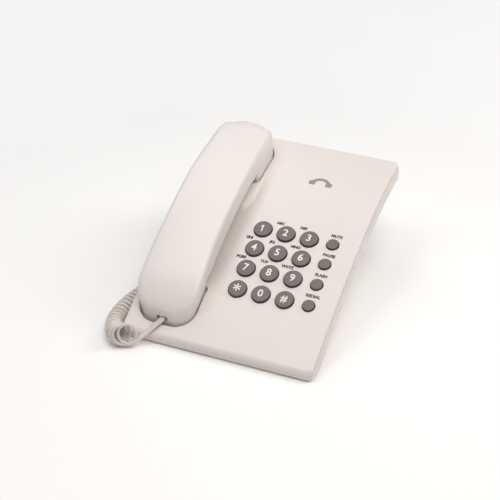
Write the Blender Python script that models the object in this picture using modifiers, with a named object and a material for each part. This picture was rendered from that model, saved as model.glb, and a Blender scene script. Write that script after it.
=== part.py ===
"""Corded desk telephone: sloping base with keypad, and a handset that rests on its left side.

Lengths are in metres, with X to the user's right, Y to the back and Z up. Everything is
drawn from the base's own centre: on the table, on its centre line, below the middle of the
cover's side profile. The last step moves the finished pieces by ORIGIN_SHIFT, so that the
origin becomes the bottom centre of the whole telephone's bounding box, cord included.
"""

import math

import bmesh
import bpy
from mathutils import Euler, Matrix, Vector

# ---- driving dimensions ----------------------------------------------------------------
BASE_WIDTH = 0.150
PROFILE_LENGTH = 0.200        # length along Y of the cubic that shapes the cover
FRONT_Y = -0.0962             # front and back edges of the cover
BACK_Y = 0.0998
TOP_FRONT_Z = 0.0060          # height of the cover at its front edge
TOP_BACK_Z = 0.0784           # height of the cover at its back edge
TOP_FRONT_SLOPE = math.radians(28.3)
TOP_BACK_SLOPE = math.radians(1.4)
WALL = 0.0020                 # moulded wall thickness
PLAY = 0.0004                 # gap left between neighbouring pieces

COVER_LIP = 0.0036            # height of the cover's side wall
COVER_CORNER = 0.005          # plan radius of the cover's corners
COVER_EDGE = 0.0015           # rounding of the cover's side and back edges
COVER_FRONT_EDGE = 0.0030     # rounding of the cover's front edge
BAND_HEIGHT = 0.0088          # height of the lower housing's side band
BAND_FLARE = 0.0008           # how far the band stands out past the cover
FLOOR_Z = 0.0020              # underside of the lower housing
FLOOR_HALF_WIDTH = 0.050      # flat part of the underside
FLOOR_FRONT_Y = -0.0880
FLOOR_BACK_Y = 0.0680
LEDGE = 0.0040                # flat ledge between the band and the stand

KEY_COLUMN_X = 0.0180         # middle digit column
KEY_PITCH_X = 0.01866
KEY_ROW_Y = -0.0170           # row of digits 4, 5 and 6
KEY_PITCH_ROW = 0.01837       # along the cover's curve
DIGIT_RADIUS = 0.00705
FUNCTION_RADIUS = 0.00476
KEY_HOLE_PLAY = 0.00032
KEY_RISE = 0.0022             # height of a digit cap above the cover
FUNCTION_RISE = 0.0018
KEY_FLANGE = 0.0010

HANDSET_X = -0.0466           # centre line of the handset
HANDSET_HALF_WIDTH = 0.0243   # at the mouth end; the grip is narrower
HANDSET_FRONT_Y = -0.0865
HANDSET_BACK_Y = 0.0905
HANDSET_ARC_RADIUS = 0.298    # lengthwise arch of its back
HANDSET_ARC_Y = 0.103
HANDSET_ARC_Z = -0.2004
HANDSET_CROWN = 0.0025        # crosswise arch of its back
HANDSET_GRIP = 0.0160         # thickness of the grip
HANDSET_SIDE_EDGE = 0.0062    # width of the rounding along its sides
HANDSET_SEAM = 0.0026         # height of the inner shell's edge
FRONT_EDGE = (0.0028, 0.0026)      # rounding of the mouth end, along Y and Z
BACK_EDGE = (0.0170, 0.0105)       # rounding of the ear end
FRONT_PLAN_RADIUS = 0.0155
BACK_PLAN_RADIUS = 0.0210
NOSE_START_Y = -0.0640        # from here the back dips faster towards the mouth end
NOSE_DROP = 0.0058
NOSE_LEAN = 0.0020            # the front wall's foot stands this far behind its top
GRIP_WAIST = 0.045            # share of the half width taken off at the grip
EAR_SPREAD = 0.015            # share given back at the top of the ear end
EAR_LEAN = 0.030              # the ear cup's foot is wider than its top by this share
MOUTH_LEAN = -0.090           # and the mouth cup's foot is narrower by this share
EAR_BLOCK_Y = (0.0415, 0.0435)     # the step down from the grip to the ear cup
EAR_CORNER = 0.0040                # plan radius of the ear cup's front corners
MOUTH_BLOCK_Y = (-0.0560, -0.0525)
EAR_DEPTH = 0.0070            # how far the cups sink below the cover
MOUTH_DEPTH = 0.0060
POCKET_PLAY = 0.0010          # gap round the cups in their wells
POCKET_FLOOR_PLAY = 0.0014

SCOOP_DEPTH = 0.0045          # finger trough beside and under the grip
ISLAND_HALF_WIDTH = 0.0255    # raised island in front of the ear cup
ISLAND_LENGTH = 0.0225
ISLAND_Y = 0.0360             # where the island starts to round off
WELL_WALL = 0.0014            # wall thickness of the two wells that take the cups

BOARD_THICKNESS = 0.0016
BOARD_DROP = 0.0093           # keypad board's top below the cover
MAT_THICKNESS = 0.0010
POST_SPOTS = [(x, y) for x in (-0.0365, 0.0365) for y in (-0.0365, 0.0365)]

BOSS_SPOTS = [(0.0440, -0.0720), (-0.0440, -0.0300), (0.0440, 0.0560), (-0.0100, 0.0580)]
BOSS_RADIUS = 0.0036
SCREW_HOLE = 0.0017
FOOT_RADIUS = 0.0060
FOOT_SPOTS = [(x, y) for x in (-0.0405, 0.0405) for y in (-0.0580, 0.0380)]
WALL_HOOK_SPOTS = [(0.0, -0.0600), (0.0, 0.0400)]
WALL_PAD_OFFSET = 0.0120      # from each keyhole to the raised pad beside it
WALL_PAD_SIDE = 0.0100
WALL_PAD_Z = 0.0010

HOOK_SPOT = (HANDSET_X, 0.0545)
HOOK_TRAVEL = 0.0040
BACK_SHARE = 0.72             # how far up the stand's back wall its jack and switches sit
LINE_JACK_X = 0.0200
RINGER_SWITCH_X = -0.0050
DIAL_SWITCH_X = -0.0280
SWITCH_TRAVEL = 0.0040
CORD_JACK_Y = 0.0100
CORD_JACK_SIZE = (0.0100, 0.0090, 0.0066)

EAR_HOLES_Y = 0.0690
MOUTH_HOLES_Y = -0.0640
HANDSET_SCREW_Y = -0.0360
JACK_TILT = math.radians(20)  # the handset's socket points down towards the front

CORD_RADIUS = 0.0014
COIL_RADIUS = 0.0056
COIL_TURNS = 17
COIL_STEPS = 8

DIGITS = (("1", "2", "3"), ("4", "5", "6"), ("7", "8", "9"), ("star", "0", "hash"))
FUNCTIONS = ("mute", "pause", "flash", "redial")

# From the base's centre to the bottom centre of the whole telephone's bounding box.
ORIGIN_SHIFT = (0.0082, 0.0068, 0.0)

MERGE = 0.00001

# ---- materials: colour, roughness, metallic ---------------------------------------------
MATERIALS = {
    "shell_white": ((0.80, 0.76, 0.73), 0.42, 0.0),
    "handset_white": ((0.82, 0.78, 0.76), 0.36, 0.0),
    "key_grey": ((0.17, 0.155, 0.155), 0.50, 0.0),
    "cord_beige": ((0.66, 0.62, 0.58), 0.45, 0.0),
    "mat_silicone": ((0.55, 0.55, 0.53), 0.70, 0.0),
    "board_tan": ((0.55, 0.36, 0.16), 0.55, 0.0),
    "jack_black": ((0.03, 0.03, 0.03), 0.40, 0.0),
    "plug_clear": ((0.80, 0.82, 0.82), 0.15, 0.0),
    "steel": ((0.60, 0.60, 0.60), 0.30, 1.0),
    "zinc_screw": ((0.62, 0.62, 0.60), 0.35, 1.0),
    "brass": ((0.75, 0.58, 0.27), 0.30, 1.0),
    "capsule_black": ((0.05, 0.05, 0.05), 0.50, 0.0),
    "capacitor_blue": ((0.05, 0.10, 0.25), 0.35, 0.0),
    "foot_rubber": ((0.08, 0.08, 0.08), 0.80, 0.0),
    "wire_red": ((0.55, 0.05, 0.04), 0.45, 0.0),
}


def clear_scene():
    for obj in list(bpy.data.objects):
        bpy.data.objects.remove(obj, do_unlink=True)


def new_collection(name):
    collection = bpy.data.collections.new(name)
    bpy.context.scene.collection.children.link(collection)
    return collection


def make_material(name):
    colour, roughness, metallic = MATERIALS[name]
    material = bpy.data.materials.new(name)
    material.use_nodes = True
    shader = material.node_tree.nodes["Principled BSDF"]
    shader.inputs["Base Color"].default_value = (*colour, 1.0)
    shader.inputs["Roughness"].default_value = roughness
    shader.inputs["Metallic"].default_value = metallic
    return material


clear_scene()
PARTS = new_collection("corded_telephone")
CUTTERS = new_collection("cutters")
SHADERS = {name: make_material(name) for name in MATERIALS}


# ---- small helpers ----------------------------------------------------------------------
def link(name, mesh, material=None):
    """A new object for the mesh: a part when it has a material, otherwise a cutter."""
    obj = bpy.data.objects.new(name, mesh)
    if material:
        PARTS.objects.link(obj)
        mesh.materials.clear()
        mesh.materials.append(SHADERS[material])
    else:
        CUTTERS.objects.link(obj)
        obj.hide_render = True
        obj.display_type = "WIRE"
    return obj


def place(obj, location, slope=0.0, turn=0.0):
    """Puts the object at a place, tilted up towards the back by the slope, in radians."""
    obj.location = location
    obj.rotation_euler = Euler((slope, 0.0, turn), "XYZ")
    return obj


def mesh_of(bm, name):
    bmesh.ops.recalc_face_normals(bm, faces=bm.faces)
    mesh = bpy.data.meshes.new(name)
    bm.to_mesh(mesh)
    bm.free()
    return mesh


def soften(mesh, angle=32):
    mesh.shade_smooth()
    mesh.set_sharp_from_angle(angle=math.radians(angle))


def boolean(obj, other, operation="DIFFERENCE"):
    modifier = obj.modifiers.new(f"{operation.lower()}_{other.name}", "BOOLEAN")
    modifier.operation = operation
    modifier.object = other
    modifier.solver = "EXACT"


def box(name, size, location, material=None, slope=0.0, edge=0.0):
    bm = bmesh.new()
    bmesh.ops.create_cube(bm, size=1.0)
    bmesh.ops.scale(bm, vec=size, verts=bm.verts)
    obj = link(name, mesh_of(bm, name), material)
    if edge:
        bevel = obj.modifiers.new("edges", "BEVEL")
        bevel.width = edge
        bevel.segments = 2
    return place(obj, location, slope)


def cylinder(name, radius, z_low, z_high, location, material=None, slope=0.0, steps=24):
    """An upright cylinder between two heights that are measured from its place."""
    bm = bmesh.new()
    bmesh.ops.create_cone(
        bm, cap_ends=True, segments=steps, radius1=radius, radius2=radius, depth=z_high - z_low
    )
    bmesh.ops.translate(bm, vec=(0, 0, (z_low + z_high) / 2), verts=bm.verts)
    mesh = mesh_of(bm, name)
    soften(mesh)
    return place(link(name, mesh, material), location, slope)


def turned(name, profile, location, material, slope=0.0, steps=20):
    """A shape turned about Z; the profile runs from the top of the axis to its bottom."""
    bm = bmesh.new()
    verts = [bm.verts.new((radius, 0.0, height)) for radius, height in profile]
    for first, second in zip(verts, verts[1:]):
        bm.edges.new((first, second))
    mesh = bpy.data.meshes.new(name)
    bm.to_mesh(mesh)
    bm.free()
    obj = link(name, mesh, material)
    screw = obj.modifiers.new("turn", "SCREW")
    screw.axis = "Z"
    screw.steps = steps
    screw.render_steps = steps
    screw.use_merge_vertices = True
    screw.merge_threshold = MERGE
    screw.use_smooth_shade = False
    return place(obj, location, slope)


def wire(name, points, radius, material):
    """A round wire through the points, as a curve with filled caps turned into a mesh."""
    curve = bpy.data.curves.new(name, "CURVE")
    curve.dimensions = "3D"
    curve.bevel_depth = radius
    curve.bevel_resolution = 2
    curve.use_fill_caps = True
    spline = curve.splines.new("POLY")
    spline.points.add(len(points) - 1)
    for spot, point in zip(spline.points, points):
        spot.co = (*point, 1.0)
    holder = bpy.data.objects.new(name + "_curve", curve)
    PARTS.objects.link(holder)
    graph = bpy.context.evaluated_depsgraph_get()
    mesh = bpy.data.meshes.new_from_object(holder.evaluated_get(graph))
    bpy.data.objects.remove(holder, do_unlink=True)
    bpy.data.curves.remove(curve)
    bm = bmesh.new()
    bm.from_mesh(mesh)
    bmesh.ops.remove_doubles(bm, verts=bm.verts, dist=MERGE)
    bm.to_mesh(mesh)
    bm.free()
    mesh.name = name
    soften(mesh, 60)
    return link(name, mesh, material)


def spread(low, high, step):
    """Evenly spaced places from low to high, about a step apart."""
    count = max(1, round((high - low) / step))
    return [low + (high - low) * i / count for i in range(count + 1)]


def edge_places(radius, steps):
    """Insets that divide a rounded edge into equal angles."""
    return [radius * (1 - math.cos(math.pi / 2 * i / steps)) for i in range(steps + 1)]


def edge_drop(inset, radius, height):
    """How far a rounded edge has fallen at an inset from the outline."""
    if inset >= radius:
        return 0.0
    share = 1 - inset / radius
    return height * (1 - math.sqrt(max(0.0, 1 - share * share)))


def round_corner(x, y, outline):
    """Moves a point of a rectangular grid so that the outline's corners become arcs."""
    x_low, x_high, y_low, y_high, front_radius, back_radius = outline
    x_mid, y_mid = (x_low + x_high) / 2, (y_low + y_high) / 2
    radius = back_radius if y > y_mid else front_radius
    dx = abs(x - x_mid) - ((x_high - x_low) / 2 - radius)
    dy = abs(y - y_mid) - ((y_high - y_low) / 2 - radius)
    if dx <= 0 or dy <= 0:
        return x, y
    pull = max(dx, dy) / math.hypot(dx, dy)
    x_corner = abs(x - x_mid) - dx + dx * pull
    y_corner = abs(y - y_mid) - dy + dy * pull
    return x_mid + math.copysign(x_corner, x - x_mid), y_mid + math.copysign(y_corner, y - y_mid)


def pad(name, xs, ys, outline, top, bottom, material=None):
    """A closed solid over a grid with rounded corners, between a top and a bottom height."""
    bm = bmesh.new()
    bmesh.ops.create_grid(bm, x_segments=len(xs) - 1, y_segments=len(ys) - 1, size=1.0)
    last_x, last_y = len(xs) - 1, len(ys) - 1
    places = []
    for vert in bm.verts:
        column = round((vert.co.x + 1) / 2 * last_x)
        row = round((vert.co.y + 1) / 2 * last_y)
        places.append((xs[column], ys[row]))
    for vert, (x, y) in zip(bm.verts, places):
        vert.co = (*round_corner(x, y, outline), 0.0)
    lower = list(bm.verts)
    made = bmesh.ops.extrude_face_region(bm, geom=list(bm.faces))
    upper = [item for item in made["geom"] if isinstance(item, bmesh.types.BMVert)]
    spot_of = {(round(v.co.x, 7), round(v.co.y, 7)): spot for v, spot in zip(lower, places)}
    for vert in upper:
        vert.co.z = top(*spot_of[(round(vert.co.x, 7), round(vert.co.y, 7))])
    for vert, spot in zip(lower, places):
        vert.co.z = bottom(*spot)
    mesh = mesh_of(bm, name)
    soften(mesh)
    return link(name, mesh, material)


def inset_of(x, y, outline):
    """Distance from a grid point to each side of the outline: left, right, front, back."""
    x_low, x_high, y_low, y_high = outline[:4]
    return x - x_low, x_high - x, y - y_low, y_high - y


def smooth(value, start, end):
    """0 before start, 1 after end, and an even S-curve between them."""
    share = min(1.0, max(0.0, (value - start) / (end - start)))
    return share * share * (3 - 2 * share)


# ---- the cover's surface ----------------------------------------------------------------
def cover_z(y):
    """Side profile of the cover: one cubic with a set height and slope at both edges."""
    t = y / PROFILE_LENGTH + 0.5
    rise_front = math.tan(TOP_FRONT_SLOPE) * PROFILE_LENGTH
    rise_back = math.tan(TOP_BACK_SLOPE) * PROFILE_LENGTH
    return (
        (2 * t**3 - 3 * t**2 + 1) * TOP_FRONT_Z
        + (t**3 - 2 * t**2 + t) * rise_front
        + (3 * t**2 - 2 * t**3) * TOP_BACK_Z
        + (t**3 - t**2) * rise_back
    )


def cover_slope(y):
    step = 0.0005
    return math.atan2(cover_z(y + step) - cover_z(y - step), 2 * step)


def along_cover(y, distance):
    """The Y reached by going a distance along the cover's profile."""
    steps = 40
    for _ in range(steps):
        y += distance / steps * math.cos(cover_slope(y))
    return y


def scoop(x, y):
    """Depth of the finger trough: deepest beside the grip, gone at the edges and cups."""
    across = smooth(x, -0.0640, -0.0520) * (1 - smooth(x, -0.0300, -0.0085))
    lengthwise = smooth(y, -0.0700, -0.0360) * (1 - smooth(y, 0.0250, 0.0760))
    return SCOOP_DEPTH * across * lengthwise * smooth(island_reach(x, y), 1.0, 1.09)


def island_reach(x, y):
    """1 on the edge of the raised island that carries the ear cup on into the trough."""
    across = abs(x - HANDSET_X) / ISLAND_HALF_WIDTH
    lengthwise = max(0.0, ISLAND_Y - y) / ISLAND_LENGTH
    return (across**3 + lengthwise**3) ** (1 / 3)


def cover_surface(x, y):
    return cover_z(y) - scoop(x, y)


HALF_WIDTH = BASE_WIDTH / 2
COVER_OUTLINE = (-HALF_WIDTH, HALF_WIDTH, FRONT_Y, BACK_Y, COVER_CORNER, COVER_CORNER)


def cover_lip_z(y):
    """Lower rim of the cover's wall, which meets the band along the seam."""
    return max(cover_z(y) - COVER_LIP, FLOOR_Z + 0.0008)


def cover_top(x, y):
    left, right, front, back = inset_of(x, y, COVER_OUTLINE)
    side = edge_drop(min(left, right, back), COVER_EDGE, COVER_EDGE)
    nose = edge_drop(front, COVER_FRONT_EDGE, COVER_FRONT_EDGE * 0.85)
    return cover_surface(*round_corner(x, y, COVER_OUTLINE)) - max(side, nose)


def cover_under(x, y):
    place_x, place_y = round_corner(x, y, COVER_OUTLINE)
    if min(inset_of(x, y, COVER_OUTLINE)) <= WALL + MERGE:
        return cover_lip_z(place_y)
    return max(cover_surface(place_x, place_y) - WALL, FLOOR_Z + 0.0008)


# Grid lines shared by the cover's rim and the band's rim, so that the seam stays even.
LENGTHWISE_LINES = spread(-0.0860, -0.0060, 0.0120) + spread(0.0030, 0.0390, 0.0090)
LENGTHWISE_LINES += spread(0.0500, 0.0900, 0.0130)


def cover_grid():
    """Grid lines of the cover: close together at its edges and along the trough."""
    sides = edge_places(COVER_EDGE, 2) + [WALL, WALL + 0.0003]
    nose = edge_places(COVER_FRONT_EDGE, 3) + [COVER_FRONT_EDGE + 0.0003]
    xs = [-HALF_WIDTH + d for d in sides]
    xs += spread(-0.0640, -0.0240, 0.0100) + spread(-0.0180, -0.0020, 0.0080)
    xs += spread(0.0180, 0.0620, 0.0200)
    xs += [HALF_WIDTH - d for d in reversed(sides)]
    ys = [FRONT_Y + d for d in nose] + LENGTHWISE_LINES
    ys += [BACK_Y - d for d in reversed(sides)]
    return xs, ys


# ---- the handset's outline --------------------------------------------------------------
HANDSET_OUTLINE = (
    HANDSET_X - HANDSET_HALF_WIDTH,
    HANDSET_X + HANDSET_HALF_WIDTH,
    HANDSET_FRONT_Y,
    HANDSET_BACK_Y,
    FRONT_PLAN_RADIUS,
    BACK_PLAN_RADIUS,
)


def handset_arc(y, drop=0.0):
    """Height of the handset's arch, or of a line the given depth inside it."""
    radius = HANDSET_ARC_RADIUS - drop
    return HANDSET_ARC_Z + math.sqrt(radius**2 - (y - HANDSET_ARC_Y) ** 2)


def handset_top(x, y):
    left, right, front, back = inset_of(x, y, HANDSET_OUTLINE)
    x, y = round_corner(x, y, HANDSET_OUTLINE)
    crown = HANDSET_CROWN * (1 - ((x - HANDSET_X) / HANDSET_HALF_WIDTH) ** 2)
    sides = edge_drop(min(left, right), side_edge_width(y), side_edge_height(y))
    ends = max(edge_drop(front, *FRONT_EDGE), edge_drop(back, *BACK_EDGE))
    return handset_arc(y) + crown - nose_drop(y) - math.hypot(sides, ends)


def side_edge_width(y):
    """Width of the side rounding: a crisp ridge along the grip that softens at the ear end."""
    return HANDSET_SIDE_EDGE * (0.62 + 0.38 * smooth(y, 0.020, 0.055))


def side_edge_height(y):
    """Height of the side rounding: tight at the mouth end and soft at the ear end."""
    return 0.0028 + 0.0008 * smooth(y, -0.060, -0.020) + 0.0040 * smooth(y, 0.020, 0.055)


def nose_drop(y):
    """How far the back has dipped below the plain arch towards the mouth end."""
    share = max(0.0, NOSE_START_Y - y) / (NOSE_START_Y - HANDSET_FRONT_Y)
    return NOSE_DROP * share**2


def shape_handset(obj):
    """Waists the grip and leans the walls of the cups, by moving the finished mesh's points."""
    for vert in obj.data.vertices:
        x, y, z = vert.co
        top = handset_arc(y) - 0.0040
        down = min(1.2, max(0.0, (top - z) / (top - cover_z(y))))
        lean = EAR_LEAN * smooth(y, 0.036, 0.046) + MOUTH_LEAN * (1 - smooth(y, -0.056, -0.044))
        scale = 1 - GRIP_WAIST * smooth(y, -0.070, -0.035) + EAR_SPREAD * smooth(y, 0.030, 0.050)
        vert.co.x = HANDSET_X + (x - HANDSET_X) * (scale + lean * down)
        nose = NOSE_LEAN * down * (1 - smooth(y, HANDSET_FRONT_Y, HANDSET_FRONT_Y + 0.010))
        vert.co.y = y + nose + ear_corner(x, y) * smooth(down, 0.20, 0.50)


def ear_corner(x, y):
    """How far back the ear cup's front corners are pulled, so that they are round in plan."""
    beyond = abs(x - HANDSET_X) - (HANDSET_HALF_WIDTH - EAR_CORNER)
    pull = edge_drop(EAR_CORNER - beyond, EAR_CORNER, EAR_CORNER) if beyond > 0 else 0.0
    near = smooth(y, EAR_BLOCK_Y[0] - 0.0070, EAR_BLOCK_Y[0])
    return pull * near * (1 - smooth(y, EAR_BLOCK_Y[1], EAR_BLOCK_Y[1] + 0.0140))


def handset_inset(x, y):
    return min(inset_of(x, y, HANDSET_OUTLINE))


def handset_under_line(y):
    """Side profile of the handset's underside: cups at both ends and the grip between."""
    grip = handset_arc(y, HANDSET_GRIP)
    ear = cover_z(y) - EAR_DEPTH
    mouth = cover_z(y) - MOUTH_DEPTH
    to_ear = smooth(y, *EAR_BLOCK_Y)
    to_mouth = 1 - smooth(y, *MOUTH_BLOCK_Y)
    return grip + (ear - grip) * to_ear + (mouth - grip) * to_mouth


def handset_grid(side_steps, end_steps):
    """Grid lines of a handset shell, with the given steps round its sides and ends."""
    wall_step = [WALL, WALL + 0.0003]
    sides = sorted(edge_places(HANDSET_SIDE_EDGE, side_steps) + wall_step)
    low, high = HANDSET_OUTLINE[:2]
    xs = [low + d for d in sides] + spread(low + 0.0130, high - 0.0130, 0.0110)
    xs += [high - d for d in reversed(sides)]
    front = sorted(wall_step + edge_places(FRONT_EDGE[0], end_steps))
    back = sorted(wall_step + edge_places(BACK_EDGE[0], end_steps))
    ys = [HANDSET_FRONT_Y + d for d in front] + [-0.0600]
    ys += [MOUTH_BLOCK_Y[0], MOUTH_BLOCK_Y[1], MOUTH_BLOCK_Y[1] + WALL]
    ys += spread(-0.0340, 0.0320, 0.0165)
    ys += [EAR_BLOCK_Y[0] - WALL, EAR_BLOCK_Y[0], EAR_BLOCK_Y[1], EAR_BLOCK_Y[1] + WALL]
    ys += [0.0590]
    ys += [HANDSET_BACK_Y - d for d in reversed(back)]
    return xs, ys


# ---- housings ---------------------------------------------------------------------------
def key_places():
    """Name, place and slope of every key, digits first."""
    rows = [along_cover(KEY_ROW_Y, KEY_PITCH_ROW * (1 - row)) for row in range(4)]
    keys = []
    for y, names in zip(rows, DIGITS):
        for column, name in enumerate(names):
            x = KEY_COLUMN_X + KEY_PITCH_X * (column - 1)
            keys.append((f"key_{name}", x, y, DIGIT_RADIUS))
    for y, name in zip(rows, FUNCTIONS):
        keys.append((f"button_{name}", KEY_COLUMN_X + 2 * KEY_PITCH_X, y, FUNCTION_RADIUS))
    return [(n, Vector((x, y, cover_z(y))), cover_slope(y), r) for n, x, y, r in keys]


KEYPAD_Y = along_cover(KEY_ROW_Y, -KEY_PITCH_ROW / 2)
KEYPAD_SLOPE = cover_slope(KEYPAD_Y)
KEYPAD_PLACE = Vector((KEY_COLUMN_X + KEY_PITCH_X / 2, KEYPAD_Y, cover_z(KEYPAD_Y)))


def keypad_point(x, along, below):
    """A point in the keypad's own tilted frame, below the cover."""
    tilt = Matrix.Rotation(KEYPAD_SLOPE, 4, "X")
    return KEYPAD_PLACE + tilt @ Vector((x, along, -below))


# Each well's half width, front, back, depth, and the plan radii of its front and back corners.
EAR_WELL = (
    HANDSET_HALF_WIDTH + POCKET_PLAY, EAR_BLOCK_Y[0] - POCKET_PLAY, HANDSET_BACK_Y + POCKET_PLAY,
    EAR_DEPTH, EAR_CORNER + POCKET_PLAY, BACK_PLAN_RADIUS + POCKET_PLAY,
)
MOUTH_WELL = (
    HANDSET_HALF_WIDTH * (1 + MOUTH_LEAN) + POCKET_PLAY, HANDSET_FRONT_Y + NOSE_LEAN - 0.0015,
    MOUTH_BLOCK_Y[1] + POCKET_PLAY, MOUTH_DEPTH, FRONT_PLAN_RADIUS, 0.0025,
)


def well_block(name, well, grow, lift):
    """The space of a cup's well, grown outwards all round by a wall and open above by a lift."""
    half, y_low, y_high, depth, front_radius, back_radius = well
    half += grow
    outline = (
        HANDSET_X - half, HANDSET_X + half, y_low - grow, y_high + grow,
        front_radius + grow, back_radius + grow,
    )
    corner = (0.0, 0.0012, 0.0045, 0.0095, 0.0145)
    xs = [outline[0] + d for d in corner] + [HANDSET_X] + [outline[1] - d for d in reversed(corner)]
    ys = [outline[2] + d for d in corner] + [(y_low + y_high) / 2]
    ys += [outline[3] - d for d in reversed(corner)]
    floor_depth = depth + POCKET_FLOOR_PLAY + grow
    lowest = FLOOR_Z + WALL + PLAY + WELL_WALL - grow
    return pad(
        name,
        xs,
        ys,
        outline,
        lambda x, y: cover_surface(*round_corner(x, y, outline)) + lift,
        lambda x, y: max(cover_z(round_corner(x, y, outline)[1]) - floor_depth, lowest),
    )


def boss(name, spot):
    """A screw boss that stands on the lower housing's floor and ends inside the cover's wall."""
    low = FLOOR_Z + WALL + PLAY
    post = cylinder(name, BOSS_RADIUS, low, low + 0.0100, (0, 0, 0), steps=12)
    for vert in post.data.vertices:
        vert.co.x += spot[0]
        vert.co.y += spot[1]
        if vert.co.z > low + MERGE:
            vert.co.z = cover_surface(vert.co.x, vert.co.y) - WALL / 2
    return post


def upper_housing():
    """Cover: curved top with key holes, two wells for the handset's cups, posts and bosses."""
    xs, ys = cover_grid()
    cover = pad("upper_housing", xs, ys, COVER_OUTLINE, cover_top, cover_under, "shell_white")
    for name, well in (("ear", EAR_WELL), ("mouth", MOUTH_WELL)):
        boolean(cover, well_block(f"{name}_well_wall", well, WELL_WALL, -0.0010), "UNION")
    for number, spot in enumerate(BOSS_SPOTS, 1):
        boolean(cover, boss(f"boss_{number}", spot), "UNION")
    for number, (x, y) in enumerate(POST_SPOTS, 1):
        post = cylinder(
            f"post_{number}", 0.0015, -BOARD_DROP - BOARD_THICKNESS - 0.0012, -0.0016,
            keypad_point(x, y, 0), slope=KEYPAD_SLOPE, steps=10,
        )
        boolean(cover, post, "UNION")
    for name, well in (("ear", EAR_WELL), ("mouth", MOUTH_WELL)):
        boolean(cover, well_block(f"{name}_well_space", well, 0.0, 0.012))
    for name, spot, slope, radius in key_places():
        hole = cylinder(
            f"{name}_hole", radius + KEY_HOLE_PLAY, -0.006, 0.004, spot, slope=slope, steps=14
        )
        boolean(cover, hole)
    for number, (x, y) in enumerate(BOSS_SPOTS, 1):
        pilot = cylinder(f"pilot_{number}", 0.0011, 0.0, 0.0120, (x, y, 0), steps=8)
        boolean(cover, pilot)
    x, y = HOOK_SPOT
    slot = box("hook_slot", (0.0088, 0.0068, 0.020), (x, y, cover_z(y) - EAR_DEPTH))
    boolean(cover, slot)


def band_outline():
    """The lower housing's outer sides: left, right, front and back."""
    side = HALF_WIDTH + BAND_FLARE
    return -side, side, FRONT_Y + 0.0002, BACK_Y + BAND_FLARE


def rim_z(y):
    """Upper rim of the lower housing, a seam's gap below the cover's wall."""
    return cover_lip_z(y) - PLAY


def band_bottom_z(y):
    return max(rim_z(y) - BAND_HEIGHT, FLOOR_Z)


def stand_bottom(x, y):
    """Underside: flat floor, sloping stand walls and a ledge under the band."""
    inside_x = abs(x) <= FLOOR_HALF_WIDTH + MERGE
    if inside_x and FLOOR_FRONT_Y - MERGE <= y <= FLOOR_BACK_Y + MERGE:
        return FLOOR_Z
    return band_bottom_z(y)


def lower_housing():
    """Tray: side band, sloping stand and floor, hollowed to an even wall thickness."""
    x_low, x_high, y_low, y_high = band_outline()
    outline = (x_low, x_high, y_low, y_high, COVER_CORNER, COVER_CORNER)
    xs = [x_low, x_low + 0.0015, x_low + LEDGE, -FLOOR_HALF_WIDTH, 0.0]
    xs += [-x for x in reversed(xs[:-1])]
    ys = [y_low, y_low + 0.0015, -0.0930, FLOOR_FRONT_Y, -0.0800, -0.0680, FLOOR_BACK_Y]
    ys = sorted(ys + LENGTHWISE_LINES + [y_high - LEDGE, y_high - 0.0015, y_high])
    tray = pad(
        "lower_housing",
        xs,
        ys,
        outline,
        lambda x, y: rim_z(round_corner(x, y, outline)[1]),
        lambda x, y: stand_bottom(*round_corner(x, y, outline)),
        "shell_white",
    )

    def hollow_bottom(x, y):
        return stand_bottom(x, y) + WALL

    inner = (x_low + WALL, x_high - WALL, y_low + WALL, y_high - WALL, 0.003, 0.003)
    hollow_xs = [inner[0], inner[0] + LEDGE, -FLOOR_HALF_WIDTH + 0.0014, 0.0]
    hollow_xs += [-x for x in reversed(hollow_xs[:-1])]
    hollow_ys = [inner[2], -0.0925, FLOOR_FRONT_Y, -0.0800, -0.0680, FLOOR_BACK_Y - 0.0014]
    hollow_ys = sorted(hollow_ys + LENGTHWISE_LINES + [inner[3] - LEDGE, inner[3]])
    hollow = pad(
        "tray_hollow", hollow_xs, hollow_ys, inner, lambda x, y: rim_z(y) + 0.004, hollow_bottom
    )
    boolean(tray, hollow)
    for number, (x, y) in enumerate(BOSS_SPOTS, 1):
        shaft = cylinder(f"screw_hole_{number}", SCREW_HOLE, -0.001, 0.006, (x, y, 0), steps=12)
        boolean(tray, shaft)
    for number, (x, y) in enumerate(FOOT_SPOTS, 1):
        seat = cylinder(f"foot_seat_{number}", FOOT_RADIUS + 0.0003, -0.001, 0.0028, (x, y, 0))
        boolean(tray, seat)
    for number, (x, y) in enumerate(WALL_HOOK_SPOTS, 1):
        eye = cylinder(f"keyhole_eye_{number}", 0.0045, -0.001, 0.006, (x, y, 0), steps=16)
        boolean(tray, eye)
        stem = box(f"keyhole_slot_{number}", (0.0045, 0.0090, 0.007), (x, y + 0.0060, 0.0025))
        pad_space = (x + WALL_PAD_OFFSET, y, (WALL_PAD_Z + FLOOR_Z + WALL / 2) / 2)
        size = (WALL_PAD_SIDE, WALL_PAD_SIDE, FLOOR_Z + WALL / 2 - WALL_PAD_Z)
        boolean(tray, box(f"wall_pad_{number}", size, pad_space), "UNION")
        boolean(tray, stem)
    cut_jack_openings(tray)


# Back wall of the stand, where the line jack and the two slide switches sit.
BACK_WALL_LOW = Vector((0.0, FLOOR_BACK_Y, FLOOR_Z))
BACK_WALL_TOP = Vector((0.0, BACK_Y + BAND_FLARE - LEDGE, band_bottom_z(BACK_Y)))
BACK_WALL_RUN = BACK_WALL_TOP - BACK_WALL_LOW
BACK_TILT = math.atan2(BACK_WALL_RUN.y, BACK_WALL_RUN.z)


def back_wall_point(x, share, out):
    """A point on the stand's back wall, a share of the way up and a distance outwards."""
    outward = Vector((0.0, math.cos(BACK_TILT), -math.sin(BACK_TILT)))
    return Vector((x, 0, 0)) + BACK_WALL_LOW + BACK_WALL_RUN * share + outward * out


def cord_jack_place():
    return Vector((-HALF_WIDTH + 0.0034, CORD_JACK_Y, rim_z(CORD_JACK_Y) - 0.0046))


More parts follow.
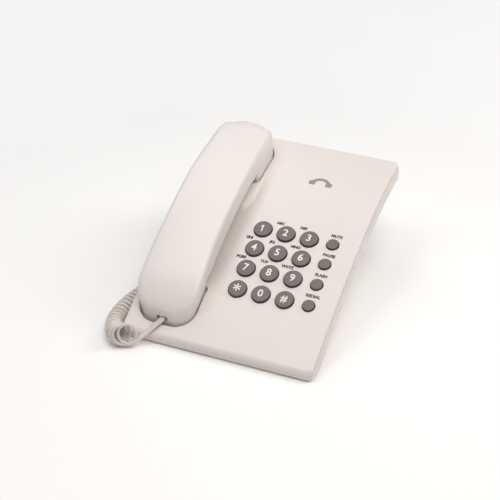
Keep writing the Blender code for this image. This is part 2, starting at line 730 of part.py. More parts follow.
def cut_jack_openings(tray):
    line = box(
        "line_jack_opening", (0.0124, 0.0120, 0.0124), back_wall_point(LINE_JACK_X, BACK_SHARE, 0),
        slope=-BACK_TILT,
    )
    boolean(tray, line)
    for name, x in (("ringer", RINGER_SWITCH_X), ("dial", DIAL_SWITCH_X)):
        slot = box(
            f"{name}_switch_slot", (0.0110, 0.0120, 0.0042), back_wall_point(x, BACK_SHARE, 0),
            slope=-BACK_TILT,
        )
        boolean(tray, slot)
    _, depth, height = CORD_JACK_SIZE
    side = box(
        "cord_jack_opening", (0.014, depth + 2 * PLAY, height + 2 * PLAY),
        cord_jack_place(), slope=cover_slope(CORD_JACK_Y),
    )
    boolean(tray, side)


# ---- keypad -----------------------------------------------------------------------------
def key_profile(radius, rise):
    """Half section of a key: domed cap, straight side, retaining flange and stem."""
    return [
        (0.0, rise),
        (radius * 0.70, rise - 0.00020),
        (radius - 0.0004, rise - 0.00070),
        (radius, rise - 0.0014),
        (radius, -WALL - PLAY),
        (radius + 0.0008, -WALL - PLAY),
        (radius + 0.0008, -WALL - PLAY - KEY_FLANGE),
        (0.0022, -WALL - PLAY - KEY_FLANGE),
        (0.0022, -0.0048),
        (0.0, -0.0048),
    ]


def keys():
    for name, spot, slope, radius in key_places():
        rise = KEY_RISE if radius == DIGIT_RADIUS else FUNCTION_RISE
        turned(name, key_profile(radius, rise), spot, "key_grey", slope, steps=12)


def dome_spots():
    """Places of the mat's domes, in the keypad's own frame."""
    frame = Matrix.Translation(KEYPAD_PLACE) @ Matrix.Rotation(KEYPAD_SLOPE, 4, "X")
    inverse = frame.inverted()
    return [inverse @ spot for _, spot, _, _ in key_places()]


def key_mat():
    """Silicone mat with one hollow-cone dome under every key."""
    top = BOARD_DROP - MAT_THICKNESS - 0.0003
    size = (0.0780, 0.0800, MAT_THICKNESS)
    mat = box("key_mat", size, keypad_point(0, 0, top + MAT_THICKNESS / 2), "mat_silicone",
              slope=KEYPAD_SLOPE)
    for number, spot in enumerate(dome_spots(), 1):
        bm = bmesh.new()
        bmesh.ops.create_cone(
            bm, cap_ends=True, segments=8, radius1=0.0045, radius2=0.0030, depth=0.0024
        )
        dome = link(f"dome_{number}", mesh_of(bm, f"dome_{number}"))
        place(dome, keypad_point(spot.x, spot.y, top - 0.0010), KEYPAD_SLOPE)
        boolean(mat, dome, "UNION")
    cut_post_holes(mat, "mat")


def cut_post_holes(obj, label):
    for number, (x, y) in enumerate(POST_SPOTS, 1):
        hole = cylinder(
            f"{label}_post_hole_{number}", 0.0019, -0.016, -0.004, keypad_point(x, y, 0),
            slope=KEYPAD_SLOPE, steps=10,
        )
        boolean(obj, hole)


def keypad_board():
    board = box(
        "keypad_board", (0.0790, 0.0820, BOARD_THICKNESS),
        keypad_point(0, 0, BOARD_DROP + BOARD_THICKNESS / 2), "board_tan", slope=KEYPAD_SLOPE,
    )
    cut_post_holes(board, "board")
    below = BOARD_DROP + BOARD_THICKNESS + 0.0003
    box("dialler_chip", (0.0180, 0.0075, 0.0028), keypad_point(0.010, 0.010, below + 0.0014),
        "jack_black", slope=KEYPAD_SLOPE)


# ---- the rest of the base ---------------------------------------------------------------
def hook_switch():
    """Plunger in the ear well, its return spring, and the switch on a small board."""
    x, y = HOOK_SPOT
    top = handset_under_line(y - 0.003) - 0.0004
    flange_z = cover_z(y - 0.005) - EAR_DEPTH - POCKET_FLOOR_PLAY - WELL_WALL - HOOK_TRAVEL
    height = top - flange_z + 0.0008
    plunger = box("hook_plunger", (0.0080, 0.0060, height), (x, y, top - height / 2),
                  "shell_white", edge=0.0006)
    flange = box("hook_flange", (0.0120, 0.0100, 0.0012), (x, y, flange_z - 0.0010))
    boolean(plunger, flange, "UNION")
    stem_low = flange_z - 0.0135
    stem = cylinder("hook_stem", 0.0016, stem_low, flange_z - 0.0008, (x, y, 0), steps=10)
    boolean(plunger, stem, "UNION")
    spring_top = flange_z - 0.0016 - 0.0009
    spring_low = stem_low + 0.0012
    turns, per_turn = 4, 8
    points = []
    for step in range(turns * per_turn + 1):
        angle = 2 * math.pi * step / per_turn
        height = spring_low + (spring_top - spring_low) * step / (turns * per_turn)
        points.append((x + 0.0030 * math.cos(angle), y + 0.0030 * math.sin(angle), height))
    wire("hook_spring", points, 0.0003, "steel")
    board_top = spring_low - 0.0012 - 0.0042
    box("hook_switch", (0.0120, 0.0070, 0.0036), (x, y, board_top + 0.0003 + 0.0018), "jack_black",
        edge=0.0003)
    box("main_board", (0.0380, 0.0300, BOARD_THICKNESS),
        (x + 0.0120, y, board_top - BOARD_THICKNESS / 2), "board_tan")
    cylinder("line_capacitor", 0.0040, 0.0, 0.0090, (x + 0.0180, y - 0.0060, board_top + 0.0003),
             "capacitor_blue", steps=16)


def ringer():
    """Piezo sounder that lies on the floor near the back."""
    z = FLOOR_Z + WALL + 0.0003
    profile = [(0.0, 0.0060), (0.0115, 0.0060), (0.0125, 0.0050), (0.0125, 0.0), (0.0, 0.0)]
    turned("ringer", profile, (0.0200, 0.0300, z), "capsule_black", steps=24)


def ballast_plate():
    z = FLOOR_Z + WALL + 0.0003 + 0.0015
    box("ballast_plate", (0.0560, 0.0300, 0.0030), (0.0080, -0.0250, z), "steel", edge=0.0004)


def jack_body(name, size, opening, place_at, slope, side):
    """A modular socket: a block with a square mouth on its outer side."""
    body = box(name, size, place_at, "jack_black", slope=slope)
    offset = Vector(side) * 0.0022
    offset.rotate(Euler((slope, 0, 0)))
    mouth = box(f"{name}_mouth", opening, Vector(place_at) + offset, slope=slope)
    boolean(body, mouth)
    return body


def jacks():
    jack_body(
        "line_jack", (0.0116, 0.0120, 0.0116), (0.0088, 0.0120, 0.0070),
        back_wall_point(LINE_JACK_X, BACK_SHARE, -0.0056), -BACK_TILT, (0, 1, 0),
    )
    jack_body(
        "cord_jack", CORD_JACK_SIZE, (CORD_JACK_SIZE[0], 0.0070, 0.0056),
        cord_jack_place() + Vector((0.0018, 0, 0)), cover_slope(CORD_JACK_Y), (-1, 0, 0),
    )


def slide_switches():
    """Ringer level and dialling mode: a knob in a slot and the switch body behind it."""
    for name, x in (("ringer_switch", RINGER_SWITCH_X), ("dial_switch", DIAL_SWITCH_X)):
        knob_at = back_wall_point(x - SWITCH_TRAVEL / 2, BACK_SHARE, -0.0012)
        box(f"{name}_knob", (0.0050, 0.0052, 0.0034), knob_at, "jack_black", slope=-BACK_TILT,
            edge=0.0003)
        body_at = back_wall_point(x, BACK_SHARE, -0.0074)
        box(f"{name}_body", (0.0150, 0.0066, 0.0066), body_at, "steel", slope=-BACK_TILT)


def feet_and_screws():
    foot = [(0.0, 0.0025), (0.0056, 0.0025), (0.0060, 0.0021), (0.0060, 0.0006),
            (0.0054, 0.0), (0.0, 0.0)]
    for number, (x, y) in enumerate(FOOT_SPOTS, 1):
        turned(f"rubber_foot_{number}", foot, (x, y, 0), "foot_rubber", steps=16)
    screw = [(0.0, 0.0110), (0.0010, 0.0110), (0.0010, 0.0016), (0.0026, 0.0016),
             (0.0026, 0.0003), (0.0, 0.0003)]
    for number, (x, y) in enumerate(BOSS_SPOTS, 1):
        turned(f"base_screw_{number}", screw, (x, y, 0), "zinc_screw", steps=12)


# ---- handset ----------------------------------------------------------------------------
def outer_wall_z(y):
    """Lower rim of the handset's outer shell."""
    return handset_under_line(y) + HANDSET_SEAM


def handset_outer_shell():
    """Arched outer shell: crowned back, rounded edges and side walls down to the seam."""
    xs, ys = handset_grid(3, 4)

    def inside(x, y):
        rim = outer_wall_z(round_corner(x, y, HANDSET_OUTLINE)[1])
        if handset_inset(x, y) <= WALL + MERGE:
            return rim
        return max(handset_top(x, y) - WALL, rim)

    shell = pad("handset_outer_shell", xs, ys, HANDSET_OUTLINE, handset_top, inside,
                "handset_white")
    shape_handset(shell)
    jack = handset_jack_place()
    place_at = (HANDSET_X, HANDSET_SCREW_Y, handset_under_line(HANDSET_SCREW_Y))
    boss = cylinder("handset_boss", 0.0032, HANDSET_SEAM + 0.0004, HANDSET_GRIP + 0.0013, place_at,
                    slope=HANDSET_SCREW_TILT, steps=12)
    boolean(shell, boss, "UNION")
    pilot = cylinder("handset_pilot", 0.0012, 0.0, 0.0100, place_at, slope=HANDSET_SCREW_TILT, steps=8)
    boolean(shell, pilot)
    boolean(shell, box("handset_jack_opening", (0.0082, 0.0160, 0.0054), jack, slope=JACK_TILT))


def handset_inner_shell():
    """Inner shell: follows the underside into both cups, with the earpiece and mouth holes."""
    xs, ys = handset_grid(3, 2)
    edge = 0.0016

    def under(x, y):
        line = handset_under_line(round_corner(x, y, HANDSET_OUTLINE)[1])
        return line + edge_drop(handset_inset(x, y), edge, edge)

    def over(x, y):
        inset = handset_inset(x, y)
        y = round_corner(x, y, HANDSET_OUTLINE)[1]
        line = handset_under_line(y)
        if inset > WALL + 0.0004:
            beyond = y + WALL if y < 0 else y - WALL
            if abs(handset_under_line(beyond) - line) > 2 * WALL:
                line = max(line, handset_under_line(beyond))
        return line + HANDSET_SEAM - PLAY

    shell = pad("handset_inner_shell", xs, ys, HANDSET_OUTLINE, over, under, "handset_white")
    shape_handset(shell)
    place_at = (HANDSET_X, HANDSET_SCREW_Y, handset_under_line(HANDSET_SCREW_Y))
    for label, radius, low, high in (("head", 0.0029, -0.002, 0.0015), ("shank", 0.0014, 0, 0.006)):
        boolean(shell, cylinder(f"handset_screw_{label}", radius, low, high, place_at,
                                slope=HANDSET_SCREW_TILT, steps=12))
    ear_z = handset_under_line(EAR_HOLES_Y)
    for ring, count in ((0.0, 1), (0.0045, 6)):
        for step in range(count):
            angle = 2 * math.pi * step / count
            x, y = HANDSET_X + ring * math.cos(angle), EAR_HOLES_Y + ring * math.sin(angle)
            spot = (x, y, ear_z)
            boolean(shell, cylinder(f"ear_hole_{ring * 1e4:.0f}_{step}", 0.0009, -0.005, 0.005,
                                    spot, steps=8))
    for step in range(3):
        x = HANDSET_X + 0.004 * (step - 1)
        spot = (x, MOUTH_HOLES_Y, handset_under_line(MOUTH_HOLES_Y))
        boolean(shell, cylinder(f"mouth_hole_{step}", 0.0008, -0.005, 0.005, spot, steps=8))


def handset_jack_place():
    """Middle of the handset's socket, whose axis leaves the front wall just above the cover."""
    y = HANDSET_FRONT_Y + NOSE_LEAN
    axis = Vector((0.0, math.cos(JACK_TILT), math.sin(JACK_TILT)))
    return Vector((HANDSET_X, y, cover_z(y) + 0.0018)) + axis * 0.0060


def handset_insides():
    """Receiver, microphone, weight bar and jack, each clear of the shells."""
    ear_slope = cover_slope(EAR_HOLES_Y)
    floor = handset_under_line(EAR_HOLES_Y) + HANDSET_SEAM
    capsule = [(0.0, 0.0080), (0.0120, 0.0080), (0.0150, 0.0066), (0.0150, 0.0012),
               (0.0140, 0.0), (0.0, 0.0)]
    turned("receiver_capsule", capsule, (HANDSET_X, EAR_HOLES_Y, floor + 0.0020), "capsule_black",
           ear_slope, steps=24)
    slope = cover_slope(MOUTH_HOLES_Y)
    floor = handset_under_line(MOUTH_HOLES_Y) + HANDSET_SEAM
    capsule = [(0.0, 0.0060), (0.0040, 0.0060), (0.0048, 0.0054), (0.0048, 0.0), (0.0, 0.0)]
    turned("microphone_capsule", capsule, (HANDSET_X, MOUTH_HOLES_Y, floor + 0.0014), "brass",
           slope, steps=20)
    y = -0.0050
    chord = math.atan2(handset_arc(y + 0.02) - handset_arc(y - 0.02), 0.04)
    box("handset_weight", (0.0200, 0.0500, 0.0050), (HANDSET_X, y, handset_arc(y, 0.0078)), "steel",
        slope=chord, edge=0.0004)
    jack_body("handset_jack", (0.0076, 0.0090, 0.0050), (0.0060, 0.0090, 0.0034),
              handset_jack_place(), JACK_TILT, (0, -1, 0))
    handset_wires()
    low = handset_under_line(HANDSET_SCREW_Y)
    screw = [(0.0, 0.0080), (0.0010, 0.0080), (0.0010, 0.0012), (0.0024, 0.0012),
             (0.0024, -0.0004), (0.0, -0.0004)]
    turned("handset_screw", screw, (HANDSET_X, HANDSET_SCREW_Y, low), "zinc_screw",
           HANDSET_SCREW_TILT, steps=12)


def handset_wires():
    """Twin leads from the jack to the receiver and to the microphone."""
    x = HANDSET_X + 0.0150
    points = [(x, y, handset_arc(y, 0.0085)) for y in spread(-0.0700, 0.0460, 0.0145)]
    start = handset_jack_place() + Vector((0.0020, 0.0056, 0.0014))
    middle = Vector((HANDSET_X + 0.0100, -0.0720, handset_arc(-0.0720, 0.0110)))
    wire("receiver_wire", [tuple(start), tuple(middle)] + points, 0.0006, "wire_red")
    slope = cover_slope(MOUTH_HOLES_Y)
    microphone = Vector((HANDSET_X, MOUTH_HOLES_Y, handset_under_line(MOUTH_HOLES_Y)))
    above = Matrix.Rotation(slope, 4, "X") @ Vector((0.0, 0.0, HANDSET_SEAM + 0.0084))
    end = microphone + above
    start = handset_jack_place() + Vector((-0.0020, 0.0056, 0.0014))
    turn = Vector((start.x, start.y + 0.0008, end.z + 0.0010))
    wire("microphone_wire", [tuple(start), tuple(turn), tuple(end)], 0.0006, "wire_red")


# ---- cord -------------------------------------------------------------------------------
def curve_through(knots, steps):
    """Points along a smooth curve through the knots."""
    knots = [Vector(knot) for knot in knots]
    ends = [2 * knots[0] - knots[1]] + knots + [2 * knots[-1] - knots[-2]]
    points = []
    for a, b, c, d in zip(ends, ends[1:], ends[2:], ends[3:]):
        for step in range(steps):
            t = step / steps
            pull = (c - a) * t + (2 * a - 5 * b + 4 * c - d) * t**2 + (3 * b - a - 3 * c + d) * t**3
            points.append(b + pull / 2)
    return points + [knots[-1]]


def even_points(points, count):
    """The same line as evenly spaced points."""
    lengths = [0.0]
    for first, second in zip(points, points[1:]):
        lengths.append(lengths[-1] + (second - first).length)
    even, index = [], 0
    for step in range(count + 1):
        goal = lengths[-1] * step / count
        while index < len(points) - 2 and lengths[index + 1] < goal:
            index += 1
        share = (goal - lengths[index]) / (lengths[index + 1] - lengths[index])
        even.append(points[index].lerp(points[index + 1], share))
    return even


# Centre line of the coil on the table, from its front end, round a bend, to the back.
COIL_LINE = (
    (-0.0650, -0.1062, 0.0110),
    (-0.0722, -0.1076, 0.0094),
    (-0.0798, -0.1026, 0.0080),
    (-0.0845, -0.0880, 0.0074),
    (-0.0848, -0.0710, 0.0074),
    (-0.0817, -0.0560, 0.0074),
    (-0.0770, -0.0400, 0.0074),
    (-0.0730, -0.0230, 0.0074),
    (-0.0715, -0.0080, 0.0074),
)


def coil_points():
    """Points of the coil: it turns about its centre line, starting at the bottom."""
    line = even_points(curve_through(COIL_LINE, 8), COIL_TURNS * COIL_STEPS)
    points = []
    for index, centre in enumerate(line):
        ahead = line[min(index + 1, len(line) - 1)] - line[max(index - 1, 0)]
        side = ahead.cross(Vector((0, 0, 1))).normalized()
        over = side.cross(ahead).normalized()
        angle = 2 * math.pi * index / COIL_STEPS
        outwards = -over * math.cos(angle) - side * math.sin(angle)
        points.append(centre + outwards * COIL_RADIUS)
    return points


def cord():
    """Coiled cord on the table, with a straight lead and a modular plug at both ends."""
    handset_plug = handset_jack_place() - tilt_vector(JACK_TILT, 0.0015, 0.0)
    box("handset_plug", (0.0052, 0.0060, 0.0026), handset_plug, "plug_clear", slope=JACK_TILT)
    plug_end = handset_plug - tilt_vector(JACK_TILT, 0.0030 + 2 * PLAY, 0.0)
    coil = coil_points()
    front = curve_through(
        [plug_end, plug_end - tilt_vector(JACK_TILT, 0.0030, 0.0), (-0.0497, -0.0912, 0.0132),
         (-0.0528, -0.0962, 0.0105), (-0.0575, -0.1030, 0.0068), coil[0]], 4
    )
    slope = cover_slope(CORD_JACK_Y)
    base_plug = cord_jack_place() + Vector((-0.0012, 0, 0))
    box("base_plug", (0.0110, 0.0060, 0.0046), base_plug, "plug_clear", slope=slope)
    plug_side = base_plug + Vector((-0.0055 - 2 * PLAY, 0, 0))
    back = curve_through(
        [coil[-1], (-0.0750, -0.0010, 0.0080), (-0.0790, 0.0060, 0.0220), (-0.0808, 0.0090, 0.0400),
         plug_side + Vector((-0.0018, 0.0, -0.0010)), plug_side], 4
    )
    points = front[:-1] + coil + back[1:]
    wire("coiled_cord", [tuple(point) for point in points], CORD_RADIUS, "cord_beige")


def tilt_vector(slope, along, up):
    """A vector in the YZ plane: along the slope towards the back, and up from it."""
    return Vector((0.0, along * math.cos(slope) - up * math.sin(slope),
                   along * math.sin(slope) + up * math.cos(slope)))


def keypad_loom():
    """Wires from the keypad board to the main board."""
    below = BOARD_DROP + BOARD_THICKNESS + 0.0015
    start = keypad_point(-0.0300, 0.0330, below)
    points = curve_through([start, start + Vector((-0.006, 0.008, -0.004)),
                            Vector((-0.0200, 0.0350, 0.0400)), Vector((-0.0200, 0.0385, 0.0400))], 3)
    wire("keypad_loom", [tuple(point) for point in points], 0.0009, "wire_red")


def move_to_origin():
    """Moves every piece and cutter so that the bounding box stands on its bottom centre."""
    for obj in [*PARTS.objects, *CUTTERS.objects]:
        obj.location += Vector(ORIGIN_SHIFT)


HANDSET_SCREW_TILT = math.atan2(
    handset_under_line(HANDSET_SCREW_Y + 0.001) - handset_under_line(HANDSET_SCREW_Y - 0.001), 0.002
)

upper_housing()
lower_housing()
keys()
key_mat()
keypad_board()
keypad_loom()
hook_switch()
ringer()
ballast_plate()
jacks()
slide_switches()
feet_and_screws()
handset_outer_shell()
handset_inner_shell()
handset_insides()
cord()
move_to_origin()
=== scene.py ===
"""Looks of the corded telephone: moulded plastic shells, printed keys and a coiled cord.

Shapes are drawn from the base's own centre, as in the CAD part: on the table, on the base's
centre line, below the middle of the cover's side profile. place_piece() then moves each one
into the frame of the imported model. Lengths are in metres.
"""

from collections import namedtuple
from math import atan2, copysign, cos, hypot, pi, radians, sin, sqrt, tan

import bmesh
import bpy
from mathutils import Euler, Matrix, Vector


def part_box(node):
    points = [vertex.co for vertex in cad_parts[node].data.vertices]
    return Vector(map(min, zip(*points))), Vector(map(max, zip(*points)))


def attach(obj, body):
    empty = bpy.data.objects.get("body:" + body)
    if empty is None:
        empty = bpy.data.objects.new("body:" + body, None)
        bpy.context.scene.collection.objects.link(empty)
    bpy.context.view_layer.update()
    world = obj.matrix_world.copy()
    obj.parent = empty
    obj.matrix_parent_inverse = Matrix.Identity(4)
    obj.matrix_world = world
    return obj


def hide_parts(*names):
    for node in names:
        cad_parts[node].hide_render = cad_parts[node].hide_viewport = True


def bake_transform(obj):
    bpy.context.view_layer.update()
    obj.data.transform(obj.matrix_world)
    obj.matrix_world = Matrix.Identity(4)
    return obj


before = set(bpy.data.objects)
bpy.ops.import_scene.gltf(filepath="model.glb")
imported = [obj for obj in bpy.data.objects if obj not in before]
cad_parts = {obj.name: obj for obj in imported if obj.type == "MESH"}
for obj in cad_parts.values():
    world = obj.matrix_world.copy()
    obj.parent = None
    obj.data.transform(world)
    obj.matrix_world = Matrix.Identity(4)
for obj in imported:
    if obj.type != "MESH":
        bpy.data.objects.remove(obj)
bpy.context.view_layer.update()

# ---- dimensions of the base ----
COVER_LOW, COVER_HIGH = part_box("upper_housing")
HALF_WIDTH = (COVER_HIGH.x - COVER_LOW.x) / 2
FRONT_Y = -0.0962
BACK_Y = FRONT_Y + COVER_HIGH.y - COVER_LOW.y
BASE_CENTRE = Vector(((COVER_LOW.x + COVER_HIGH.x) / 2, COVER_LOW.y - FRONT_Y, 0.0))

PROFILE_LENGTH = 0.200
TOP_FRONT_Z = 0.0060
TOP_BACK_Z = 0.0784
TOP_FRONT_SLOPE = radians(28.3)
TOP_BACK_SLOPE = radians(1.4)
WALL = 0.0020
PLAY = 0.0004
SLIVER = 0.00001
COVER_LIP = 0.0036
COVER_CORNER = 0.005
COVER_EDGE = 0.0015
NOSE_EDGE = 0.0030
FLOOR_Z = 0.0020
SCOOP_DEPTH = 0.0045
ISLAND_HALF_WIDTH = 0.0255
ISLAND_LENGTH = 0.0225
ISLAND_Y = 0.0360

# ---- dimensions of the keys ----
KEY_COLUMN_X = 0.0180
KEY_PITCH_X = 0.01866
KEY_ROW_Y = -0.0170
KEY_PITCH_ROW = 0.01837
DIGIT_RADIUS = 0.00705
FUNCTION_RADIUS = 0.00476
KEY_HOLE_PLAY = 0.00032
KEY_RISE = 0.0022
FUNCTION_RISE = 0.0018
KEY_FLANGE = 0.0010
# Depth below a key's top where the painted-shade material of its sides begins.
KEY_FACE_DEPTH = 0.00042
DIGITS = (("1", "2", "3"), ("4", "5", "6"), ("7", "8", "9"), ("star", "0", "hash"))
FUNCTIONS = ("mute", "pause", "flash", "redial")
SIGNS = {"star": "*", "hash": "#"}
LETTERS = {
    "2": "ABC", "3": "DEF", "4": "GHI", "5": "JKL", "6": "MNO", "7": "PQRS", "8": "TUV", "9": "WXYZ",
}

# ---- dimensions of the handset ----
HANDSET_X = -0.0466
HANDSET_HALF = 0.0243
HANDSET_FRONT = -0.0865
HANDSET_BACK = 0.0905
ARC_RADIUS = 0.298
ARC_Y = 0.103
ARC_Z = -0.2004
CROWN = 0.0025
GRIP = 0.0160
SIDE_EDGE = 0.0062
SEAM = 0.0026
FRONT_EDGE = (0.0028, 0.0026)
BACK_EDGE = (0.0170, 0.0105)
FRONT_PLAN_RADIUS = 0.0155
BACK_PLAN_RADIUS = 0.0210
NOSE_START_Y = -0.0640
NOSE_DROP = 0.0058
NOSE_LEAN = 0.0020
GRIP_WAIST = 0.045
EAR_SPREAD = 0.015
EAR_LEAN = 0.030
MOUTH_LEAN = -0.090
EAR_BLOCK_Y = (0.0415, 0.0435)
EAR_CORNER = 0.0040
MOUTH_BLOCK_Y = (-0.0560, -0.0525)
EAR_DEPTH = 0.0070
MOUTH_DEPTH = 0.0060
EAR_HOLES_Y = 0.0690
MOUTH_HOLES_Y = -0.0640
POCKET_PLAY = 0.0010
FLOOR_PLAY = 0.0014
WELL_WALL = 0.0014
JACK_TILT = radians(20)
JACK_OPENING = (0.0080, 0.0160, 0.0046)

HANDSET_OUTLINE = (
    HANDSET_X - HANDSET_HALF, HANDSET_X + HANDSET_HALF, HANDSET_FRONT, HANDSET_BACK,
    FRONT_PLAN_RADIUS, BACK_PLAN_RADIUS,
)
COVER_OUTLINE = (-HALF_WIDTH, HALF_WIDTH, FRONT_Y, BACK_Y, COVER_CORNER, COVER_CORNER)


# ---- mesh helpers ----
def link(name, data):
    obj = bpy.data.objects.new(name, data)
    bpy.context.scene.collection.objects.link(obj)
    return obj


def smooth(value, start, end):
    """0 before start, 1 after end, and an even S-curve between them."""
    share = min(1.0, max(0.0, (value - start) / (end - start)))
    return share * share * (3 - 2 * share)


def spread(low, high, step):
    """Evenly spaced places from low to high, about a step apart."""
    count = max(1, round((high - low) / step))
    return [low + (high - low) * i / count for i in range(count + 1)]


def edge_places(radius, steps):
    """Insets that divide a rounded edge into equal angles."""
    return [radius * (1 - cos(pi / 2 * i / steps)) for i in range(steps + 1)]


def edge_drop(inset, radius, height):
    """How far a rounded edge has fallen at an inset from the outline."""
    if inset >= radius:
        return 0.0
    share = 1 - inset / radius
    return height * (1 - sqrt(max(0.0, 1 - share * share)))


def round_corner(x, y, outline):
    """Moves a point of a rectangular grid so that the outline's corners become arcs."""
    x_low, x_high, y_low, y_high, front_radius, back_radius = outline
    x_mid, y_mid = (x_low + x_high) / 2, (y_low + y_high) / 2
    radius = back_radius if y > y_mid else front_radius
    dx = abs(x - x_mid) - ((x_high - x_low) / 2 - radius)
    dy = abs(y - y_mid) - ((y_high - y_low) / 2 - radius)
    if dx <= 0 or dy <= 0:
        return x, y
    pull = max(dx, dy) / hypot(dx, dy)
    x_corner = abs(x - x_mid) - dx + dx * pull
    y_corner = abs(y - y_mid) - dy + dy * pull
    return x_mid + copysign(x_corner, x - x_mid), y_mid + copysign(y_corner, y - y_mid)


def tilt_vector(slope, length):
    """A vector that runs along a slope towards the back."""
    return Vector((0.0, length * cos(slope), length * sin(slope)))


def inset_of(x, y, outline):
    """Distance from a grid point to each side of the outline: left, right, front, back."""
    x_low, x_high, y_low, y_high = outline[:4]
    return x - x_low, x_high - x, y - y_low, y_high - y


def new_object(name, bm, angle=35):
    """A shown object from the bmesh, smooth but for edges sharper than the angle in degrees."""
    bmesh.ops.recalc_face_normals(bm, faces=bm.faces)
    mesh = bpy.data.meshes.new(name)
    bm.to_mesh(mesh)
    bm.free()
    mesh.shade_smooth()
    mesh.set_sharp_from_angle(angle=radians(angle))
    return link(name, mesh)


def rim(sheet):
    """The outer loop of a grid of points, in order round it."""
    front, back = sheet[0], sheet[-1]
    right = [row[-1] for row in sheet[1:]]
    left = [row[0] for row in sheet[-2:0:-1]]
    return front + right + back[-2::-1] + left


def pad(name, xs, ys, outline, top, bottom):
    """A closed solid over a grid with rounded corners, between a top and a bottom height."""
    bm = bmesh.new()
    upper, lower = [], []
    for y in ys:
        spots = [(*round_corner(x, y, outline), x) for x in xs]
        upper.append([bm.verts.new((px, py, top(x, y))) for px, py, x in spots])
        lower.append([bm.verts.new((px, py, bottom(x, y))) for px, py, x in spots])
    for row in range(len(ys) - 1):
        for column in range(len(xs) - 1):
            for sheet, flip in ((upper, False), (lower, True)):
                corners = [
                    sheet[row][column], sheet[row][column + 1],
                    sheet[row + 1][column + 1], sheet[row + 1][column],
                ]
                bm.faces.new(corners[::-1] if flip else corners)
    stitch(bm, rim(lower), rim(upper))
    return new_object(name, bm)


def stitch(bm, low, high):
    """Faces between two closed loops with the same number of points."""
    count = len(low)
    for i in range(count):
        j = (i + 1) % count
        bm.faces.new((low[i], low[j], high[j], high[i]))


def loft(name, loops, angle=35):
    """A closed solid through a stack of closed loops of points."""
    bm = bmesh.new()
    rings = [[bm.verts.new(point) for point in loop] for loop in loops]
    for low, high in zip(rings, rings[1:]):
        stitch(bm, low, high)
    bm.faces.new(rings[0][::-1])
    bm.faces.new(rings[-1])
    return new_object(name, bm, angle)


def lathe(name, profile, steps, angle=35):
    """A solid turned about Z. The profile runs from the top of the axis to its bottom."""
    bm = bmesh.new()
    rings = []
    for radius, height in profile:
        if radius == 0.0:
            rings.append([bm.verts.new((0.0, 0.0, height))])
            continue
        turn = [2 * pi * i / steps for i in range(steps)]
        spots = [(radius * cos(angle), radius * sin(angle), height) for angle in turn]
        rings.append([bm.verts.new(spot) for spot in spots])
    for upper, lower in zip(rings, rings[1:]):
        for i in range(steps):
            j = (i + 1) % steps
            if len(upper) == 1:
                bm.faces.new((upper[0], lower[i], lower[j]))
            elif len(lower) == 1:
                bm.faces.new((upper[i], lower[0], upper[j]))
            else:
                bm.faces.new((upper[i], lower[i], lower[j], upper[j]))
    return new_object(name, bm, angle)


def rod(radius, low, high, steps):
    """An upright cylinder, used as a post or as a cutter."""
    return lathe("rod", [(0, high), (radius, high), (radius, low), (0, low)], steps)


def block(name, size, edge=0.0, segments=3):
    """A box about the origin with rounded edges."""
    bm = bmesh.new()
    bmesh.ops.create_cube(bm, size=1.0)
    bmesh.ops.scale(bm, vec=size, verts=bm.verts)
    if edge:
        bmesh.ops.bevel(bm, geom=bm.edges[:], offset=edge, segments=segments, profile=0.5,
                        affect="EDGES")
    return new_object(name, bm)


def move(obj, place=(0, 0, 0), slope=0.0, turn=0.0):
    """Tilts the mesh up towards the back by the slope, turns it about Z and moves it."""
    tilt = Euler((slope, 0.0, turn), "XYZ").to_matrix().to_4x4()
    obj.data.transform(Matrix.Translation(Vector(place)) @ tilt)
    return obj


def join(obj, others):
    """Adds the other meshes, with their materials, to the first object's mesh."""
    bm = bmesh.new()
    bm.from_mesh(obj.data)
    for other in others:
        first = len(bm.faces)
        material = other.data.materials[0] if other.data.materials else None
        if material and material.name not in obj.data.materials:
            obj.data.materials.append(material)
        bm.from_mesh(other.data)
        bm.faces.ensure_lookup_table()
        for face in bm.faces[first:]:
            face.material_index = obj.data.materials.find(material.name) if material else 0
        drop(other)
    bm.to_mesh(obj.data)
    bm.free()
    return obj


def drop(obj):
    mesh = obj.data
    bpy.data.objects.remove(obj, do_unlink=True)
    if mesh.users == 0:
        bpy.data.meshes.remove(mesh)


def carve(obj, other, operation="DIFFERENCE", angle=35):
    """Applies one exact boolean and throws the second solid away."""
    modifier = obj.modifiers.new("carve", "BOOLEAN")
    modifier.operation = operation
    modifier.object = other
    modifier.solver = "EXACT"
    graph = bpy.context.evaluated_depsgraph_get()
    mesh = bpy.data.meshes.new_from_object(obj.evaluated_get(graph))
    old = obj.data
    obj.modifiers.clear()
    obj.data = mesh
    mesh.name = old.name
    bpy.data.meshes.remove(old)
    drop(other)
    mesh.shade_smooth()
    mesh.set_sharp_from_angle(angle=radians(angle))
    return obj


def place_piece(obj, body, material=None, replaces=()):
    """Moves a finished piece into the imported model's frame and hangs it on its body.

    A piece given no material here keeps the ones it has.
    """
    obj.data.transform(Matrix.Translation(BASE_CENTRE))
    if material:
        obj.data.materials.clear()
        obj.data.materials.append(material)
    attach(obj, body)
    if replaces:
        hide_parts(*replaces)


# ---- materials ----
def node_of(tree, kind, **settings):
    node = tree.nodes.new(kind)
    for key, value in settings.items():
        setattr(node, key, value)
    return node


def noise(tree, coords, scale, detail=3.0, stretch=None):
    """A noise value; the scale is in cells per metre."""
    if stretch:
        mapping = node_of(tree, "ShaderNodeMapping")
        mapping.inputs["Scale"].default_value = stretch
        tree.links.new(coords, mapping.inputs["Vector"])
        coords = mapping.outputs["Vector"]
    node = node_of(tree, "ShaderNodeTexNoise")
    node.inputs["Scale"].default_value = scale
    node.inputs["Detail"].default_value = detail
    tree.links.new(coords, node.inputs["Vector"])
    return node.outputs["Fac"]


